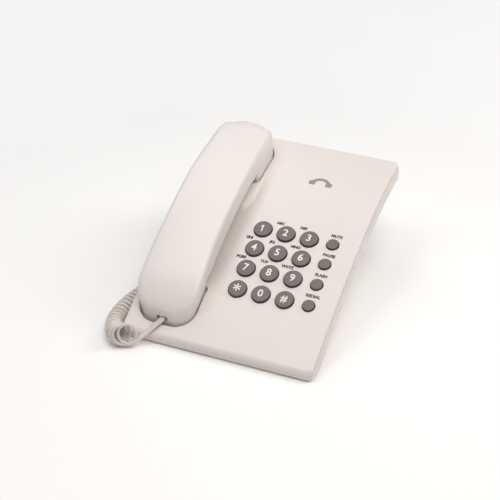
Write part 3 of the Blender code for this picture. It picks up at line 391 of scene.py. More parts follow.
def remap(tree, value, low, high, to_low, to_high):
    node = node_of(tree, "ShaderNodeMapRange")
    names = ("From Min", "From Max", "To Min", "To Max")
    for name, number in zip(names, (low, high, to_low, to_high)):
        node.inputs[name].default_value = number
    tree.links.new(value, node.inputs["Value"])
    return node.outputs["Result"]


def math_node(tree, operation, first, second):
    node = node_of(tree, "ShaderNodeMath", operation=operation)
    for socket, value in zip(node.inputs, (first, second)):
        if isinstance(value, float):
            socket.default_value = value
        else:
            tree.links.new(value, socket)
    return node.outputs["Value"]


def mix_colour(tree, share, first, second):
    """A colour between two. Either may be a fixed (red, green, blue) or come from a node."""
    node = node_of(tree, "ShaderNodeMix", data_type="RGBA")
    factor, first_socket, second_socket = node.inputs[0], node.inputs[6], node.inputs[7]
    tree.links.new(share, factor)
    for socket, value in ((first_socket, first), (second_socket, second)):
        if isinstance(value, tuple):
            socket.default_value = (*value, 1.0)
        else:
            tree.links.new(value, socket)
    return node.outputs[2]


def edge_mask(tree, radius):
    """1 along edges about as wide as the radius, 0 on flat and gently curved faces."""
    bevel = node_of(tree, "ShaderNodeBevel", samples=4)
    bevel.inputs["Radius"].default_value = radius
    geometry = node_of(tree, "ShaderNodeNewGeometry")
    dot = node_of(tree, "ShaderNodeVectorMath", operation="DOT_PRODUCT")
    tree.links.new(bevel.outputs["Normal"], dot.inputs[0])
    tree.links.new(geometry.outputs["Normal"], dot.inputs[1])
    return remap(tree, dot.outputs["Value"], 0.995, 0.90, 0.0, 1.0)


def surface(
    name, colour, roughness, metallic=0.0, worn=None, shade=0.06, cloud=35.0, grain=1800.0,
    grain_depth=0.00002, grain_strength=0.25, edge=0.0005, wear=0.35, stretch=None, clear=0.0,
    sheen=0.0,
):
    """A moulded or machined surface: clouded colour, fine grain, uneven gloss and worn edges."""
    material = bpy.data.materials.new(name)
    material.use_nodes = True
    tree = material.node_tree
    shader = tree.nodes["Principled BSDF"]
    coords = node_of(tree, "ShaderNodeTexCoord").outputs["Object"]
    dark = tuple(c * (1 - shade) for c in colour)
    worn = worn or tuple(min(1.0, c * 1.12 + 0.01) for c in colour)
    clouds = remap(tree, noise(tree, coords, cloud, 4.0), 0.30, 0.70, 0.0, 1.0)
    specks = remap(tree, noise(tree, coords, grain * 0.55, 2.0, stretch), 0.35, 0.65, 0.0, 1.0)
    mottle = math_node(tree, "ADD", math_node(tree, "MULTIPLY", clouds, 0.65),
                       math_node(tree, "MULTIPLY", specks, 0.35))
    tint = mix_colour(tree, mottle, dark, colour)
    scuffs = remap(tree, noise(tree, coords, 420.0, 5.0), 0.42, 0.62, 0.25, 1.0)
    rubbed = math_node(tree, "MULTIPLY", edge_mask(tree, edge), scuffs)
    rubbed = math_node(tree, "MULTIPLY", rubbed, wear)
    tree.links.new(mix_colour(tree, rubbed, tint, worn), shader.inputs["Base Color"])
    shader.inputs["Base Color"].default_value = (*colour, 1.0)
    gloss = remap(tree, noise(tree, coords, cloud * 3.1, 5.0), 0.30, 0.70, roughness - 0.05,
                  roughness + 0.06)
    polish = math_node(tree, "SUBTRACT", gloss, math_node(tree, "MULTIPLY", rubbed, 0.18))
    tree.links.new(polish, shader.inputs["Roughness"])
    weights = {"Metallic": metallic, "Transmission Weight": clear, "Sheen Weight": sheen}
    for socket, value in weights.items():
        shader.inputs[socket].default_value = value
    bump = node_of(tree, "ShaderNodeBump")
    bump.inputs["Strength"].default_value = grain_strength
    bump.inputs["Distance"].default_value = grain_depth
    tree.links.new(noise(tree, coords, grain, 4.0, stretch), bump.inputs["Height"])
    tree.links.new(bump.outputs["Normal"], shader.inputs["Normal"])
    return material


def ink(name, colour, roughness=0.45):
    """Pad-printed ink: a little uneven in density, with a faint film texture."""
    return surface(name, colour, roughness, shade=0.10, cloud=700.0, grain=2600.0, wear=0.0,
                   grain_depth=0.000006)


SHELL = surface("shell_white_look", (0.80, 0.752, 0.722), 0.44, shade=0.035, cloud=22.0)
HANDSET = surface("handset_white_look", (0.83, 0.79, 0.775), 0.38, shade=0.03, cloud=26.0)
# Painted shade: the keys' sides get a darker copy of the key grey, standing in for the shade that
# falls on them.
KEY_SIDE_SHADE = surface("key_side_painted_shade_look", (0.060, 0.050, 0.049), 0.55, shade=0.15, cloud=160.0,
                   grain=2400.0, wear=0.0)
KEY = surface("key_grey_look", (0.172, 0.153, 0.150), 0.50, shade=0.10, cloud=160.0, grain=2400.0,
              worn=(0.34, 0.32, 0.32), edge=0.0004, wear=0.55)
CORD = surface("cord_beige_look", (0.70, 0.650, 0.615), 0.48, shade=0.07, cloud=120.0, edge=0.0008)
CLEAR = surface("plug_clear_look", (0.86, 0.88, 0.87), 0.12, shade=0.02, clear=0.75, wear=0.1)
BLACK = surface("jack_black_look", (0.028, 0.028, 0.030), 0.42, shade=0.2, cloud=200.0,
                worn=(0.09, 0.09, 0.09))
GOLD = surface("contact_gold_look", (0.80, 0.58, 0.24), 0.25, metallic=1.0, shade=0.08, cloud=900.0)
STEEL = surface("steel_look", (0.58, 0.58, 0.57), 0.32, metallic=1.0, shade=0.12, cloud=90.0,
                grain=900.0, stretch=(1.0, 12.0, 1.0), worn=(0.75, 0.75, 0.74))
ZINC = surface("zinc_screw_look", (0.62, 0.62, 0.59), 0.34, metallic=1.0, shade=0.15, cloud=500.0,
               grain=3000.0)
BRASS = surface("brass_look", (0.74, 0.56, 0.26), 0.32, metallic=1.0, shade=0.12, cloud=300.0)
RUBBER = surface("foot_rubber_look", (0.055, 0.053, 0.052), 0.80, shade=0.2, cloud=260.0,
                 grain=1400.0, grain_depth=0.00006, worn=(0.12, 0.12, 0.115), sheen=0.2)
SILICONE = surface("mat_silicone_look", (0.52, 0.52, 0.50), 0.66, shade=0.08, cloud=80.0, sheen=0.3)
BOARD = surface("board_tan_look", (0.50, 0.33, 0.15), 0.55, shade=0.22, cloud=60.0, grain=700.0,
                stretch=(1.0, 6.0, 1.0), worn=(0.66, 0.50, 0.28))
CAPSULE = surface("capsule_black_look", (0.045, 0.045, 0.047), 0.50, shade=0.2, cloud=150.0,
                  worn=(0.12, 0.12, 0.12))
SLEEVE = surface("capacitor_blue_look", (0.04, 0.09, 0.24), 0.34, shade=0.15, cloud=300.0)
WIRE = surface("wire_red_look", (0.52, 0.05, 0.04), 0.42, shade=0.12, cloud=200.0)
DIGIT_INK = ink("digit_ink", (0.90, 0.89, 0.88))
LEGEND_INK = ink("legend_ink", (0.035, 0.028, 0.028))
MARK_INK = ink("mark_ink", (0.30, 0.305, 0.305))


# ---- the cover's surface ----
def cover_z(y):
    """Side profile of the cover: one cubic with a set height and slope at both edges."""
    t = y / PROFILE_LENGTH + 0.5
    rise_front = tan(TOP_FRONT_SLOPE) * PROFILE_LENGTH
    rise_back = tan(TOP_BACK_SLOPE) * PROFILE_LENGTH
    return (
        (2 * t**3 - 3 * t**2 + 1) * TOP_FRONT_Z
        + (t**3 - 2 * t**2 + t) * rise_front
        + (3 * t**2 - 2 * t**3) * TOP_BACK_Z
        + (t**3 - t**2) * rise_back
    )


def cover_slope(y):
    step = 0.0005
    return atan2(cover_z(y + step) - cover_z(y - step), 2 * step)


def along_cover(y, distance):
    """The Y reached by going a distance along the cover's profile."""
    steps = 40
    for _ in range(steps):
        y += distance / steps * cos(cover_slope(y))
    return y


def scoop(x, y):
    """Depth of the finger trough: deepest beside the grip, gone at the edges and cups."""
    across = smooth(x, -0.0640, -0.0520) * (1 - smooth(x, -0.0300, -0.0085))
    lengthwise = smooth(y, -0.0700, -0.0360) * (1 - smooth(y, 0.0250, 0.0760))
    return SCOOP_DEPTH * across * lengthwise * smooth(island_reach(x, y), 1.0, 1.09)


def island_reach(x, y):
    """1 on the edge of the raised island that carries the ear cup on into the trough."""
    across = abs(x - HANDSET_X) / ISLAND_HALF_WIDTH
    lengthwise = max(0.0, ISLAND_Y - y) / ISLAND_LENGTH
    return (across**3 + lengthwise**3) ** (1 / 3)


def cover_surface(x, y):
    return cover_z(y) - scoop(x, y)


def cover_lip_z(y):
    """Lower rim of the cover's wall, which meets the band along the seam."""
    return max(cover_z(y) - COVER_LIP, FLOOR_Z + 0.0008)


def cover_top(x, y):
    left, right, front, back = inset_of(x, y, COVER_OUTLINE)
    side = edge_drop(min(left, right, back), COVER_EDGE, COVER_EDGE)
    nose = edge_drop(front, NOSE_EDGE, NOSE_EDGE * 0.85)
    return cover_surface(*round_corner(x, y, COVER_OUTLINE)) - max(side, nose)


def cover_under(x, y):
    place_x, place_y = round_corner(x, y, COVER_OUTLINE)
    if min(inset_of(x, y, COVER_OUTLINE)) <= WALL + SLIVER:
        return cover_lip_z(place_y)
    return max(cover_surface(place_x, place_y) - WALL, FLOOR_Z + 0.0008)


def key_places():
    """Name, place and slope of every key, digits first."""
    rows = [along_cover(KEY_ROW_Y, KEY_PITCH_ROW * (1 - row)) for row in range(4)]
    keys = []
    for y, names in zip(rows, DIGITS):
        for column, name in enumerate(names):
            keys.append((name, KEY_COLUMN_X + KEY_PITCH_X * (column - 1), y, DIGIT_RADIUS))
    for y, name in zip(rows, FUNCTIONS):
        keys.append((name, KEY_COLUMN_X + 2 * KEY_PITCH_X, y, FUNCTION_RADIUS))
    return [(n, Vector((x, y, cover_z(y))), cover_slope(y), r) for n, x, y, r in keys]


# ---- the cups' wells ----
Well = namedtuple("Well", "half front back depth front_radius back_radius front_lip back_lip")
EAR_WELL = Well(
    HANDSET_HALF + POCKET_PLAY, EAR_BLOCK_Y[0] - POCKET_PLAY, HANDSET_BACK + POCKET_PLAY,
    EAR_DEPTH, EAR_CORNER + POCKET_PLAY, BACK_PLAN_RADIUS + POCKET_PLAY, 0.0006, 0.0006,
)
MOUTH_WELL = Well(
    HANDSET_HALF * (1 + MOUTH_LEAN) + POCKET_PLAY, HANDSET_FRONT + NOSE_LEAN - 0.0015,
    MOUTH_BLOCK_Y[1] + POCKET_PLAY, MOUTH_DEPTH, FRONT_PLAN_RADIUS, 0.0035, 0.0034, 0.0012,
)


# The lip's arc in degrees, and the angle at which it meets the cover's surface.
LIP_TURNS = (0, 15, 30, 45, 60, 76, 90)
LIP_CROSSING = 76
CLEAR_ABOVE = 0.012


def rounded_outline(x_low, x_high, y_low, y_high, front_radius, back_radius, step=0.0015):
    """Points round a rectangle with rounded corners, each with its outward direction."""
    corners = (
        (x_high - front_radius, y_low + front_radius, front_radius, -90),
        (x_high - back_radius, y_high - back_radius, back_radius, 0),
        (x_low + back_radius, y_high - back_radius, back_radius, 90),
        (x_low + front_radius, y_low + front_radius, front_radius, 180),
    )
    points = []
    for x, y, radius, start in corners:
        count = max(6, round(radius * pi / 2 / step))
        for i in range(count + 1):
            angle = radians(start + 90 * i / count)
            way = Vector((cos(angle), sin(angle)))
            points.append((Vector((x, y)) + way * radius, way))
    filled = []
    for (here, way), (there, _) in zip(points, points[1:] + points[:1]):
        count = max(1, round((there - here).length / step))
        filled += [(here.lerp(there, i / count), way) for i in range(count)]
    return filled


def well_shape(name, well, grow, open_top):
    """A cup's well, grown by its wall. The open one flares into a rounded lip at the cover."""
    outline = rounded_outline(
        HANDSET_X - well.half - grow, HANDSET_X + well.half + grow,
        well.front - grow, well.back + grow,
        well.front_radius + grow, well.back_radius + grow,
    )
    lowest = FLOOR_Z + WALL + PLAY + WELL_WALL - grow
    drop_in = well.depth + FLOOR_PLAY + grow
    floor = [max(cover_z(p.y) - drop_in, lowest) for p, _ in outline]
    loops = [[(p.x, p.y, z) for (p, _), z in zip(outline, floor)]]
    if not open_top:
        loops.append([(p.x, p.y, cover_surface(p.x, p.y) - WALL / 2) for p, _ in outline])
        return loft(name, loops)
    loops += [lip_ring(well, outline, radians(turn)) for turn in LIP_TURNS]
    loops.append([(x, y, z + CLEAR_ABOVE) for x, y, z in loops[-1]])
    return loft(name, loops)


def lip_ring(well, outline, turn):
    """One ring of a well's rounded lip, at an angle from upright wall to level cover."""
    cross = sin(radians(LIP_CROSSING))
    ring = []
    for point, way in outline:
        share = smooth(point.y, well.front + 0.004, well.front + 0.016)
        lip = well.front_lip + (well.back_lip - well.front_lip) * share
        spot = point + way * lip * (1 - cos(turn))
        height = cover_surface(spot.x, spot.y) + lip * (sin(turn) - cross)
        ring.append((spot.x, spot.y, height))
    return ring


def key_hole(spot, slope, radius):
    """A key hole with a small chamfer at the cover's face."""
    hole = radius + KEY_HOLE_PLAY
    profile = [
        (0.0, 0.0040), (hole + 0.0006, 0.0040), (hole + 0.0004, 0.0004), (hole + 0.00012, 0.0),
        (hole, -0.00022), (hole, -0.0060), (0.0, -0.0060),
    ]
    return move(lathe("key_hole", profile, 64), spot, slope)


POST_REACH = 0.0365
POST_SPOTS = [(x, y) for x in (-POST_REACH, POST_REACH) for y in (-POST_REACH, POST_REACH)]
BOSS_SPOTS = [(0.0440, -0.0720), (-0.0440, -0.0300), (0.0440, 0.0560), (-0.0100, 0.0580)]
BOSS_RADIUS = 0.0036
PILOT_RADIUS = 0.0011
BOARD_DROP = 0.0093
BOARD_THICKNESS = 0.0016
HOOK_SPOT = (HANDSET_X, 0.0545)
HOOK_SLOT = (0.0088, 0.0068, 0.0200)
HOOK_RELIEF = (0.0128, 0.0108, 0.0060)


def keypad_point(x, along):
    """A point in the keypad's own tilted plane, level with the cover at its middle."""
    y = along_cover(KEY_ROW_Y, -KEY_PITCH_ROW / 2)
    place = Vector((KEY_COLUMN_X + KEY_PITCH_X / 2, y, cover_z(y)))
    return place + Matrix.Rotation(cover_slope(y), 4, "X") @ Vector((x, along, 0.0))


def boss(spot):
    """A screw boss that stands on the lower housing's floor and ends inside the cover's wall."""
    low = FLOOR_Z + WALL + PLAY
    post = rod(BOSS_RADIUS, low, low + 0.005, 24)
    for vert in post.data.vertices:
        vert.co.x += spot[0]
        vert.co.y += spot[1]
        if vert.co.z > low + SLIVER:
            vert.co.z = cover_surface(vert.co.x, vert.co.y) - WALL / 2
    return post


def keypad_post(x, y):
    """A post that carries the keypad board."""
    low = -BOARD_DROP - BOARD_THICKNESS - 0.0012
    slope = cover_slope(along_cover(KEY_ROW_Y, -KEY_PITCH_ROW / 2))
    return move(rod(0.0015, low, -0.0016, 20), keypad_point(x, y), slope)


def cover():
    """The cover: curved top, key holes, finger trough and the two wells with soft lips."""
    sides = edge_places(COVER_EDGE, 6) + [WALL, WALL + 0.0003]
    nose = edge_places(NOSE_EDGE, 8) + [NOSE_EDGE + 0.0003]
    xs = [-HALF_WIDTH + d for d in sides] + spread(-0.0715, 0.0715, 0.0020)
    xs += [HALF_WIDTH - d for d in reversed(sides)]
    ys = [FRONT_Y + d for d in nose] + spread(FRONT_Y + 0.0050, BACK_Y - 0.0035, 0.0020)
    ys += [BACK_Y - d for d in reversed(sides)]
    shell = pad("base_cover", xs, ys, COVER_OUTLINE, cover_top, cover_under)
    inner = [well_shape("well_wall", well, WELL_WALL, False) for well in (EAR_WELL, MOUTH_WELL)]
    inner += [boss(spot) for spot in BOSS_SPOTS]
    inner += [keypad_post(x, y) for x, y in POST_SPOTS]
    for solid in inner:
        carve(shell, solid, "UNION")
    holes = [key_hole(spot, slope, radius) for _, spot, slope, radius in key_places()]
    holes += [move(rod(PILOT_RADIUS, 0, 0.012, 16), (x, y, 0)) for x, y in BOSS_SPOTS]
    holes += [well_shape("well_space", well, 0.0, True) for well in (EAR_WELL, MOUTH_WELL)]
    carve(shell, join(holes[0], holes[1:]))
    cut_hook_slot(shell)
    follow_cover(shell)
    place_piece(shell, "base", SHELL, ["upper_housing"])


def cut_hook_slot(shell):
    """The slot for the hook's plunger, and room under the well's floor for its flange."""
    x, y = HOOK_SPOT
    carve(shell, move(block("slot", HOOK_SLOT), (x, y, cover_z(y) - EAR_DEPTH)))
    front = y - HOOK_RELIEF[1] / 2 - 0.0002
    ceiling = cover_z(front) - EAR_DEPTH - FLOOR_PLAY - WELL_WALL + 0.0003
    carve(shell, move(block("relief", HOOK_RELIEF), (x, y, ceiling - HOOK_RELIEF[2] / 2)))


def edge_normal(x, y):
    """Direction of the cover's rounded side edge at a point of it."""
    level = 1 - max(0.0, HALF_WIDTH - abs(x)) / COVER_EDGE
    rise = sqrt(1 - level * level)
    slope = cover_slope(y)
    return Vector((copysign(level, x), -rise * sin(slope), rise * cos(slope)))


def top_normal(x, y):
    """Direction of the cover's curved top."""
    step = 0.0004
    across = cover_surface(x - step, y) - cover_surface(x + step, y)
    along = cover_surface(x, y - step) - cover_surface(x, y + step)
    return Vector((across, along, 2 * step)).normalized()


def follow_cover(shell):
    """Shades the top by the curve it was drawn from, so that no facet of the mesh shows.

    A corner of the mesh takes the curve's direction only where the two already nearly agree,
    by at least the limit's cosine, so the walls of holes and wells keep their own.
    """
    mesh = shell.data
    normals = [Vector(corner.vector) for corner in mesh.corner_normals]
    for loop in mesh.loops:
        x, y, z = mesh.vertices[loop.vertex_index].co
        on_side = HALF_WIDTH - abs(x) < COVER_EDGE
        ends = min(BACK_Y - y, y - FRONT_Y)
        if on_side and ends > COVER_CORNER:
            true, limit = edge_normal(x, y), 0.8
        elif not on_side and ends >= NOSE_EDGE and abs(z - cover_surface(x, y)) <= 0.00004:
            true, limit = top_normal(x, y), 0.95
        else:
            continue
        if normals[loop.index].dot(true) > limit:
            normals[loop.index] = true
    mesh.normals_split_custom_set(normals)


# ---- keys and print ----
# Print is a thin solid laid on the surface. A bold value widens each stroke on both sides.
DIGIT_INK_THICKNESS = 0.00016
DIGIT_SIZE = 0.0083
DIGIT_BOLD = 0.00013
STAR_SIZE = 0.0132
DIGIT_SHIFT = Vector((-0.0002, -0.0001))
STAR_SHIFT = Vector((-0.0002, -0.0022))
LEGEND_LIFT = 0.00004
LETTER_SIZE, LETTER_BOLD = 0.0031, 0.00022
LETTER_SHIFT = Vector((-0.0076, 0.0084))
WORD_SIZE, WORD_BOLD = 0.0034, 0.00018
WORD_SHIFT = Vector((0.0006, 0.0075))
KEY_EDGE = 0.0009
STEM_RADIUS = 0.0022
STEM_END = -0.0048
MARK_PLACE = (0.0255, 0.0547)
MARK_RADII = (0.0058, 0.0086)
MARK_ARC = (28, 152)


def text_solid(name, word, size, thickness, bold=0.0):
    """Flat lettering about the origin, as a thin solid."""
    curve = bpy.data.curves.new(name, "FONT")
    curve.body = word
    curve.size = size
    curve.align_x = "CENTER"
    curve.align_y = "CENTER"
    curve.offset = bold
    curve.extrude = thickness / 2
    curve.resolution_u = 6
    holder = link(name, curve)
    graph = bpy.context.evaluated_depsgraph_get()
    mesh = bpy.data.meshes.new_from_object(holder.evaluated_get(graph))
    bpy.data.objects.remove(holder, do_unlink=True)
    bpy.data.curves.remove(curve)
    mesh.materials.clear()
    return link(name, mesh)


def figure_one():
    """The digit 1 as a thin solid: an upright with a short flag."""
    bm = bmesh.new()
    half, low, high, flag = 0.00045, -0.0029, 0.0029, 0.0014
    outline = [
        (half, low), (half, high), (-half, high), (-half - flag, high - 0.0013),
        (-half - flag, high - 0.0021), (-half, high - 0.0013), (-half, low),
    ]
    for height in (-DIGIT_INK_THICKNESS / 2, DIGIT_INK_THICKNESS / 2):
        bm.faces.new([bm.verts.new((x, y, height)) for x, y in outline])
    bm.verts.ensure_lookup_table()
    count = len(outline)
    stitch(bm, bm.verts[:count], bm.verts[count:])
    return new_object("digit", bm)


def key_profile(radius, rise):
    """Half section of a key: nearly flat face, rounded edge, retaining flange and stem."""
    profile = [(0.0, rise), (radius * 0.45, rise - 0.00002), (radius * 0.75, rise - 0.00010)]
    for step in range(7):
        angle = pi / 2 * step / 6
        profile.append((radius - KEY_EDGE + KEY_EDGE * sin(angle),
                        rise - 0.00018 - KEY_EDGE * (1 - cos(angle))))
    high, flange = -WALL - PLAY, radius + 0.0008
    return profile + [
        (radius, high), (flange, high), (flange, high - KEY_FLANGE),
        (STEM_RADIUS, high - KEY_FLANGE), (STEM_RADIUS, STEM_END), (0.0, STEM_END),
    ]


def digit_print(name, rise):
    """The figure or sign on a digit key's face."""
    size, shift = (STAR_SIZE, STAR_SHIFT) if name == "star" else (DIGIT_SIZE, DIGIT_SHIFT)
    if name == "1":
        figure = figure_one()
    else:
        figure = text_solid("digit", SIGNS.get(name, name), size, DIGIT_INK_THICKNESS, DIGIT_BOLD)
    figure.data.materials.append(DIGIT_INK)
    return move(figure, (*shift, rise))


def keys():
    for name, spot, slope, radius in key_places():
        digit = radius == DIGIT_RADIUS
        rise = KEY_RISE if digit else FUNCTION_RISE
        cap = lathe(f"key_cap_{name}", key_profile(radius, rise), 64, 40)
        cap.data.materials.append(KEY)
        cap.data.materials.append(KEY_SIDE_SHADE)
        # Painted shade: faces below the key's face take the darker side material.
        for face in cap.data.polygons:
            face.material_index = int(face.center.z < rise - KEY_FACE_DEPTH)
        if digit:
            join(cap, [digit_print(name, rise)])
        node = f"key_{name}" if digit else f"button_{name}"
        place_piece(move(cap, spot, slope), node, replaces=[node])


def on_cover(obj, place):
    """Lays flat print on the cover round an (x, y) place, following its curve."""
    slope = cover_slope(place[1])
    for vert in obj.data.vertices:
        x, y = place[0] + vert.co.x, place[1] + vert.co.y * cos(slope)
        vert.co = (x, y, cover_surface(x, y) + LEGEND_LIFT + vert.co.z)
    return obj


def legends():
    """Letters over the digits and words over the function buttons."""
    prints = []
    for name, spot, _, _ in key_places():
        if name in LETTERS:
            word, size, bold, shift = LETTERS[name], LETTER_SIZE, LETTER_BOLD, LETTER_SHIFT
        elif name in FUNCTIONS:
            word, size, bold, shift = name.upper(), WORD_SIZE, WORD_BOLD, WORD_SHIFT
        else:
            continue
        solid = text_solid("word", word, size, LEGEND_LIFT, bold)
        prints.append(on_cover(solid, spot.xy + shift))
    sheet = join(prints[0], prints[1:])
    sheet.name = "printed_legends"
    place_piece(sheet, "base", LEGEND_INK)


def mark():
    """A plain pictogram of a handset, printed near the back of the cover."""
    bm = bmesh.new()
    steps = 20
    rows = []
    for step in range(steps + 1):
        angle = radians(MARK_ARC[0] + (MARK_ARC[1] - MARK_ARC[0]) * step / steps)
        rows.append([
            bm.verts.new((radius * cos(angle), radius * sin(angle), 0))
            for radius in MARK_RADII
        ])
    for first, second in zip(rows, rows[1:]):
        bm.faces.new((first[0], first[1], second[1], second[0]))
    arch = new_object("arch", bm)
    cups = []
    for side in (-1, 1):
        outline = rounded_outline(-0.0026, 0.0026, -0.0022, 0.0022, 0.0010, 0.0010, 0.0006)
        bm = bmesh.new()
        spots = [(point.x + side * 0.0068, point.y + 0.0022, 0.00001) for point, _ in outline]
        bm.faces.new([bm.verts.new(spot) for spot in spots])
        cups.append(new_object("cup", bm))
    sign = move(join(arch, cups), (0, -0.0036, 0))
    sign.name = "printed_mark"
    place_piece(on_cover(sign, MARK_PLACE), "base", MARK_INK)


# ---- handset ----
def handset_arc(y, drop_in=0.0):
    """Height of the handset's arch, or of a line the given depth inside it."""
    radius = ARC_RADIUS - drop_in
    return ARC_Z + sqrt(radius**2 - (y - ARC_Y) ** 2)


def side_edge_width(y):
    """Width of the side rounding: a crisp ridge along the grip that softens at the ear end."""
    return SIDE_EDGE * (0.62 + 0.38 * smooth(y, 0.020, 0.055))


def side_edge_height(y):
    """Height of the side rounding: tight at the mouth end and soft at the ear end."""
    return 0.0028 + 0.0008 * smooth(y, -0.060, -0.020) + 0.0040 * smooth(y, 0.020, 0.055)


def nose_drop(y):
    """How far the back has dipped below the plain arch towards the mouth end."""
    share = max(0.0, NOSE_START_Y - y) / (NOSE_START_Y - HANDSET_FRONT)
    return NOSE_DROP * share**2


def handset_top(x, y):
    left, right, front, back = inset_of(x, y, HANDSET_OUTLINE)
    x, y = round_corner(x, y, HANDSET_OUTLINE)
    crown = CROWN * (1 - ((x - HANDSET_X) / HANDSET_HALF) ** 2)
    sides = edge_drop(min(left, right), side_edge_width(y), side_edge_height(y))
    ends = max(edge_drop(front, *FRONT_EDGE), edge_drop(back, *BACK_EDGE))
    return handset_arc(y) + crown - nose_drop(y) - hypot(sides, ends)


def under_line(y):
    """Side profile of the handset's underside: cups at both ends and the grip between."""
    grip = handset_arc(y, GRIP)
    ear = cover_z(y) - EAR_DEPTH
    mouth = cover_z(y) - MOUTH_DEPTH
    to_ear = smooth(y, *EAR_BLOCK_Y)
    to_mouth = 1 - smooth(y, *MOUTH_BLOCK_Y)
    return grip + (ear - grip) * to_ear + (mouth - grip) * to_mouth


def shape_handset(obj):
    """Waists the grip and leans the walls of the cups, by moving the finished mesh's points."""
    for vert in obj.data.vertices:
        x, y, z = vert.co
        top = handset_arc(y) - 0.0040
        down = min(1.2, max(0.0, (top - z) / (top - cover_z(y))))
        lean = EAR_LEAN * smooth(y, 0.036, 0.046) + MOUTH_LEAN * (1 - smooth(y, -0.056, -0.044))
        scale = 1 - GRIP_WAIST * smooth(y, -0.070, -0.035) + EAR_SPREAD * smooth(y, 0.030, 0.050)
        vert.co.x = HANDSET_X + (x - HANDSET_X) * (scale + lean * down)
        nose = NOSE_LEAN * down * (1 - smooth(y, HANDSET_FRONT, HANDSET_FRONT + 0.010))
        vert.co.y = y + nose + ear_corner(x, y) * smooth(down, 0.20, 0.50)


def ear_corner(x, y):
    """How far back the ear cup's front corners are pulled, so that they are round in plan."""
    beyond = abs(x - HANDSET_X) - (HANDSET_HALF - EAR_CORNER)
    pull = edge_drop(EAR_CORNER - beyond, EAR_CORNER, EAR_CORNER) if beyond > 0 else 0.0
    near = smooth(y, EAR_BLOCK_Y[0] - 0.0070, EAR_BLOCK_Y[0])
    return pull * near * (1 - smooth(y, EAR_BLOCK_Y[1], EAR_BLOCK_Y[1] + 0.0140))


def handset_grid():
    low, high = HANDSET_OUTLINE[:2]
    wall = [WALL, WALL + 0.0003]
    sides = sorted(edge_places(SIDE_EDGE, 9) + wall)
    xs = [low + d for d in sides] + spread(low + 0.0080, high - 0.0080, 0.0020)
    xs += [high - d for d in reversed(sides)]
    front = sorted(wall + edge_places(FRONT_EDGE[0], 8))
    back = sorted(wall + edge_places(BACK_EDGE[0], 12))
    ys = [HANDSET_FRONT + d for d in front]
    ys += spread(HANDSET_FRONT + 0.0060, MOUTH_BLOCK_Y[0] - 0.0015, 0.0020)
    ys += spread(MOUTH_BLOCK_Y[0], MOUTH_BLOCK_Y[1], 0.0006) + [MOUTH_BLOCK_Y[1] + WALL]
    ys += spread(-0.0490, 0.0375, 0.0022) + [EAR_BLOCK_Y[0] - WALL]
    ys += spread(EAR_BLOCK_Y[0], EAR_BLOCK_Y[1], 0.0005) + [EAR_BLOCK_Y[1] + WALL]
    ys += spread(0.0475, HANDSET_BACK - BACK_EDGE[0] - 0.0015, 0.0022)
    ys += [HANDSET_BACK - d for d in reversed(back)]
    return xs, ys


SCREW_Y = -0.0360
SCREW_TILT = atan2(under_line(SCREW_Y + 0.001) - under_line(SCREW_Y - 0.001), 0.002)
SCREW_PLACE = (HANDSET_X, SCREW_Y, under_line(SCREW_Y))


def handset_jack_place():
    """Middle of the handset's socket, whose axis leaves the front wall just above the cover."""
    y = HANDSET_FRONT + NOSE_LEAN
    return Vector((HANDSET_X, y, cover_z(y) + 0.0018)) + tilt_vector(JACK_TILT, 0.0060)


def handset_outer():
    """Arched outer shell, down to the seam near the bottom of the cups."""
    xs, ys = handset_grid()

    def inside(x, y):
        seam = under_line(round_corner(x, y, HANDSET_OUTLINE)[1]) + SEAM
        if min(inset_of(x, y, HANDSET_OUTLINE)) <= WALL + SLIVER:
            return seam
        return max(handset_top(x, y) - WALL, seam)

    shell = pad("handset_outer", xs, ys, HANDSET_OUTLINE, handset_top, inside)
    shape_handset(shell)
    post = rod(0.0032, SEAM + PLAY, GRIP + 0.0013, 24)
    carve(shell, move(post, SCREW_PLACE, SCREW_TILT), "UNION")
    carve(shell, move(rod(0.0012, 0, 0.010, 16), SCREW_PLACE, SCREW_TILT))
    opening = block("opening", JACK_OPENING, 0.0005)
    carve(shell, move(opening, handset_jack_place(), JACK_TILT))
    place_piece(shell, "handset", HANDSET, ["handset_outer_shell"])


def handset_inner():
    """Inner shell: follows the underside into both cups, with the earpiece and mouth holes."""
    xs, ys = handset_grid()
    edge = 0.0016

    def under(x, y):
        line = under_line(round_corner(x, y, HANDSET_OUTLINE)[1])
        return line + edge_drop(min(inset_of(x, y, HANDSET_OUTLINE)), edge, edge)

    def over(x, y):
        inset = min(inset_of(x, y, HANDSET_OUTLINE))
        y = round_corner(x, y, HANDSET_OUTLINE)[1]
        line = under_line(y)
        if inset > WALL + 0.0004:
            beyond = y + WALL if y < 0 else y - WALL
            if abs(under_line(beyond) - line) > 2 * WALL:
                line = max(line, under_line(beyond))
        return line + SEAM - PLAY

    shell = pad("handset_inner", xs, ys, HANDSET_OUTLINE, over, under)
    shape_handset(shell)
    ear = Vector((HANDSET_X, EAR_HOLES_Y, under_line(EAR_HOLES_Y)))
    carve(shell, move(ear_dish(), ear, cover_slope(EAR_HOLES_Y)))
    holes = sound_holes(ear)
    carve(shell, join(holes[0], holes[1:]))
    carve(shell, move(rod(0.0029, -0.002, 0.0015, 24), SCREW_PLACE, SCREW_TILT))
    carve(shell, move(rod(0.0014, 0.0, 0.006, 24), SCREW_PLACE, SCREW_TILT))
    place_piece(shell, "handset", HANDSET, ["handset_inner_shell"])


def ear_dish():
    """Cutter for the shallow dish in the ear cup's face."""
    radius, depth, low, steps = 0.0150, 0.0008, -0.0060, 12
    profile = [(0, depth)]
    for step in range(1, steps + 1):
        angle = pi / 2 * step / steps
        profile.append((radius * sin(angle), depth - 0.0012 * (1 - cos(angle))))
    return lathe("dish", profile + [(radius, low), (0, low)], 64)


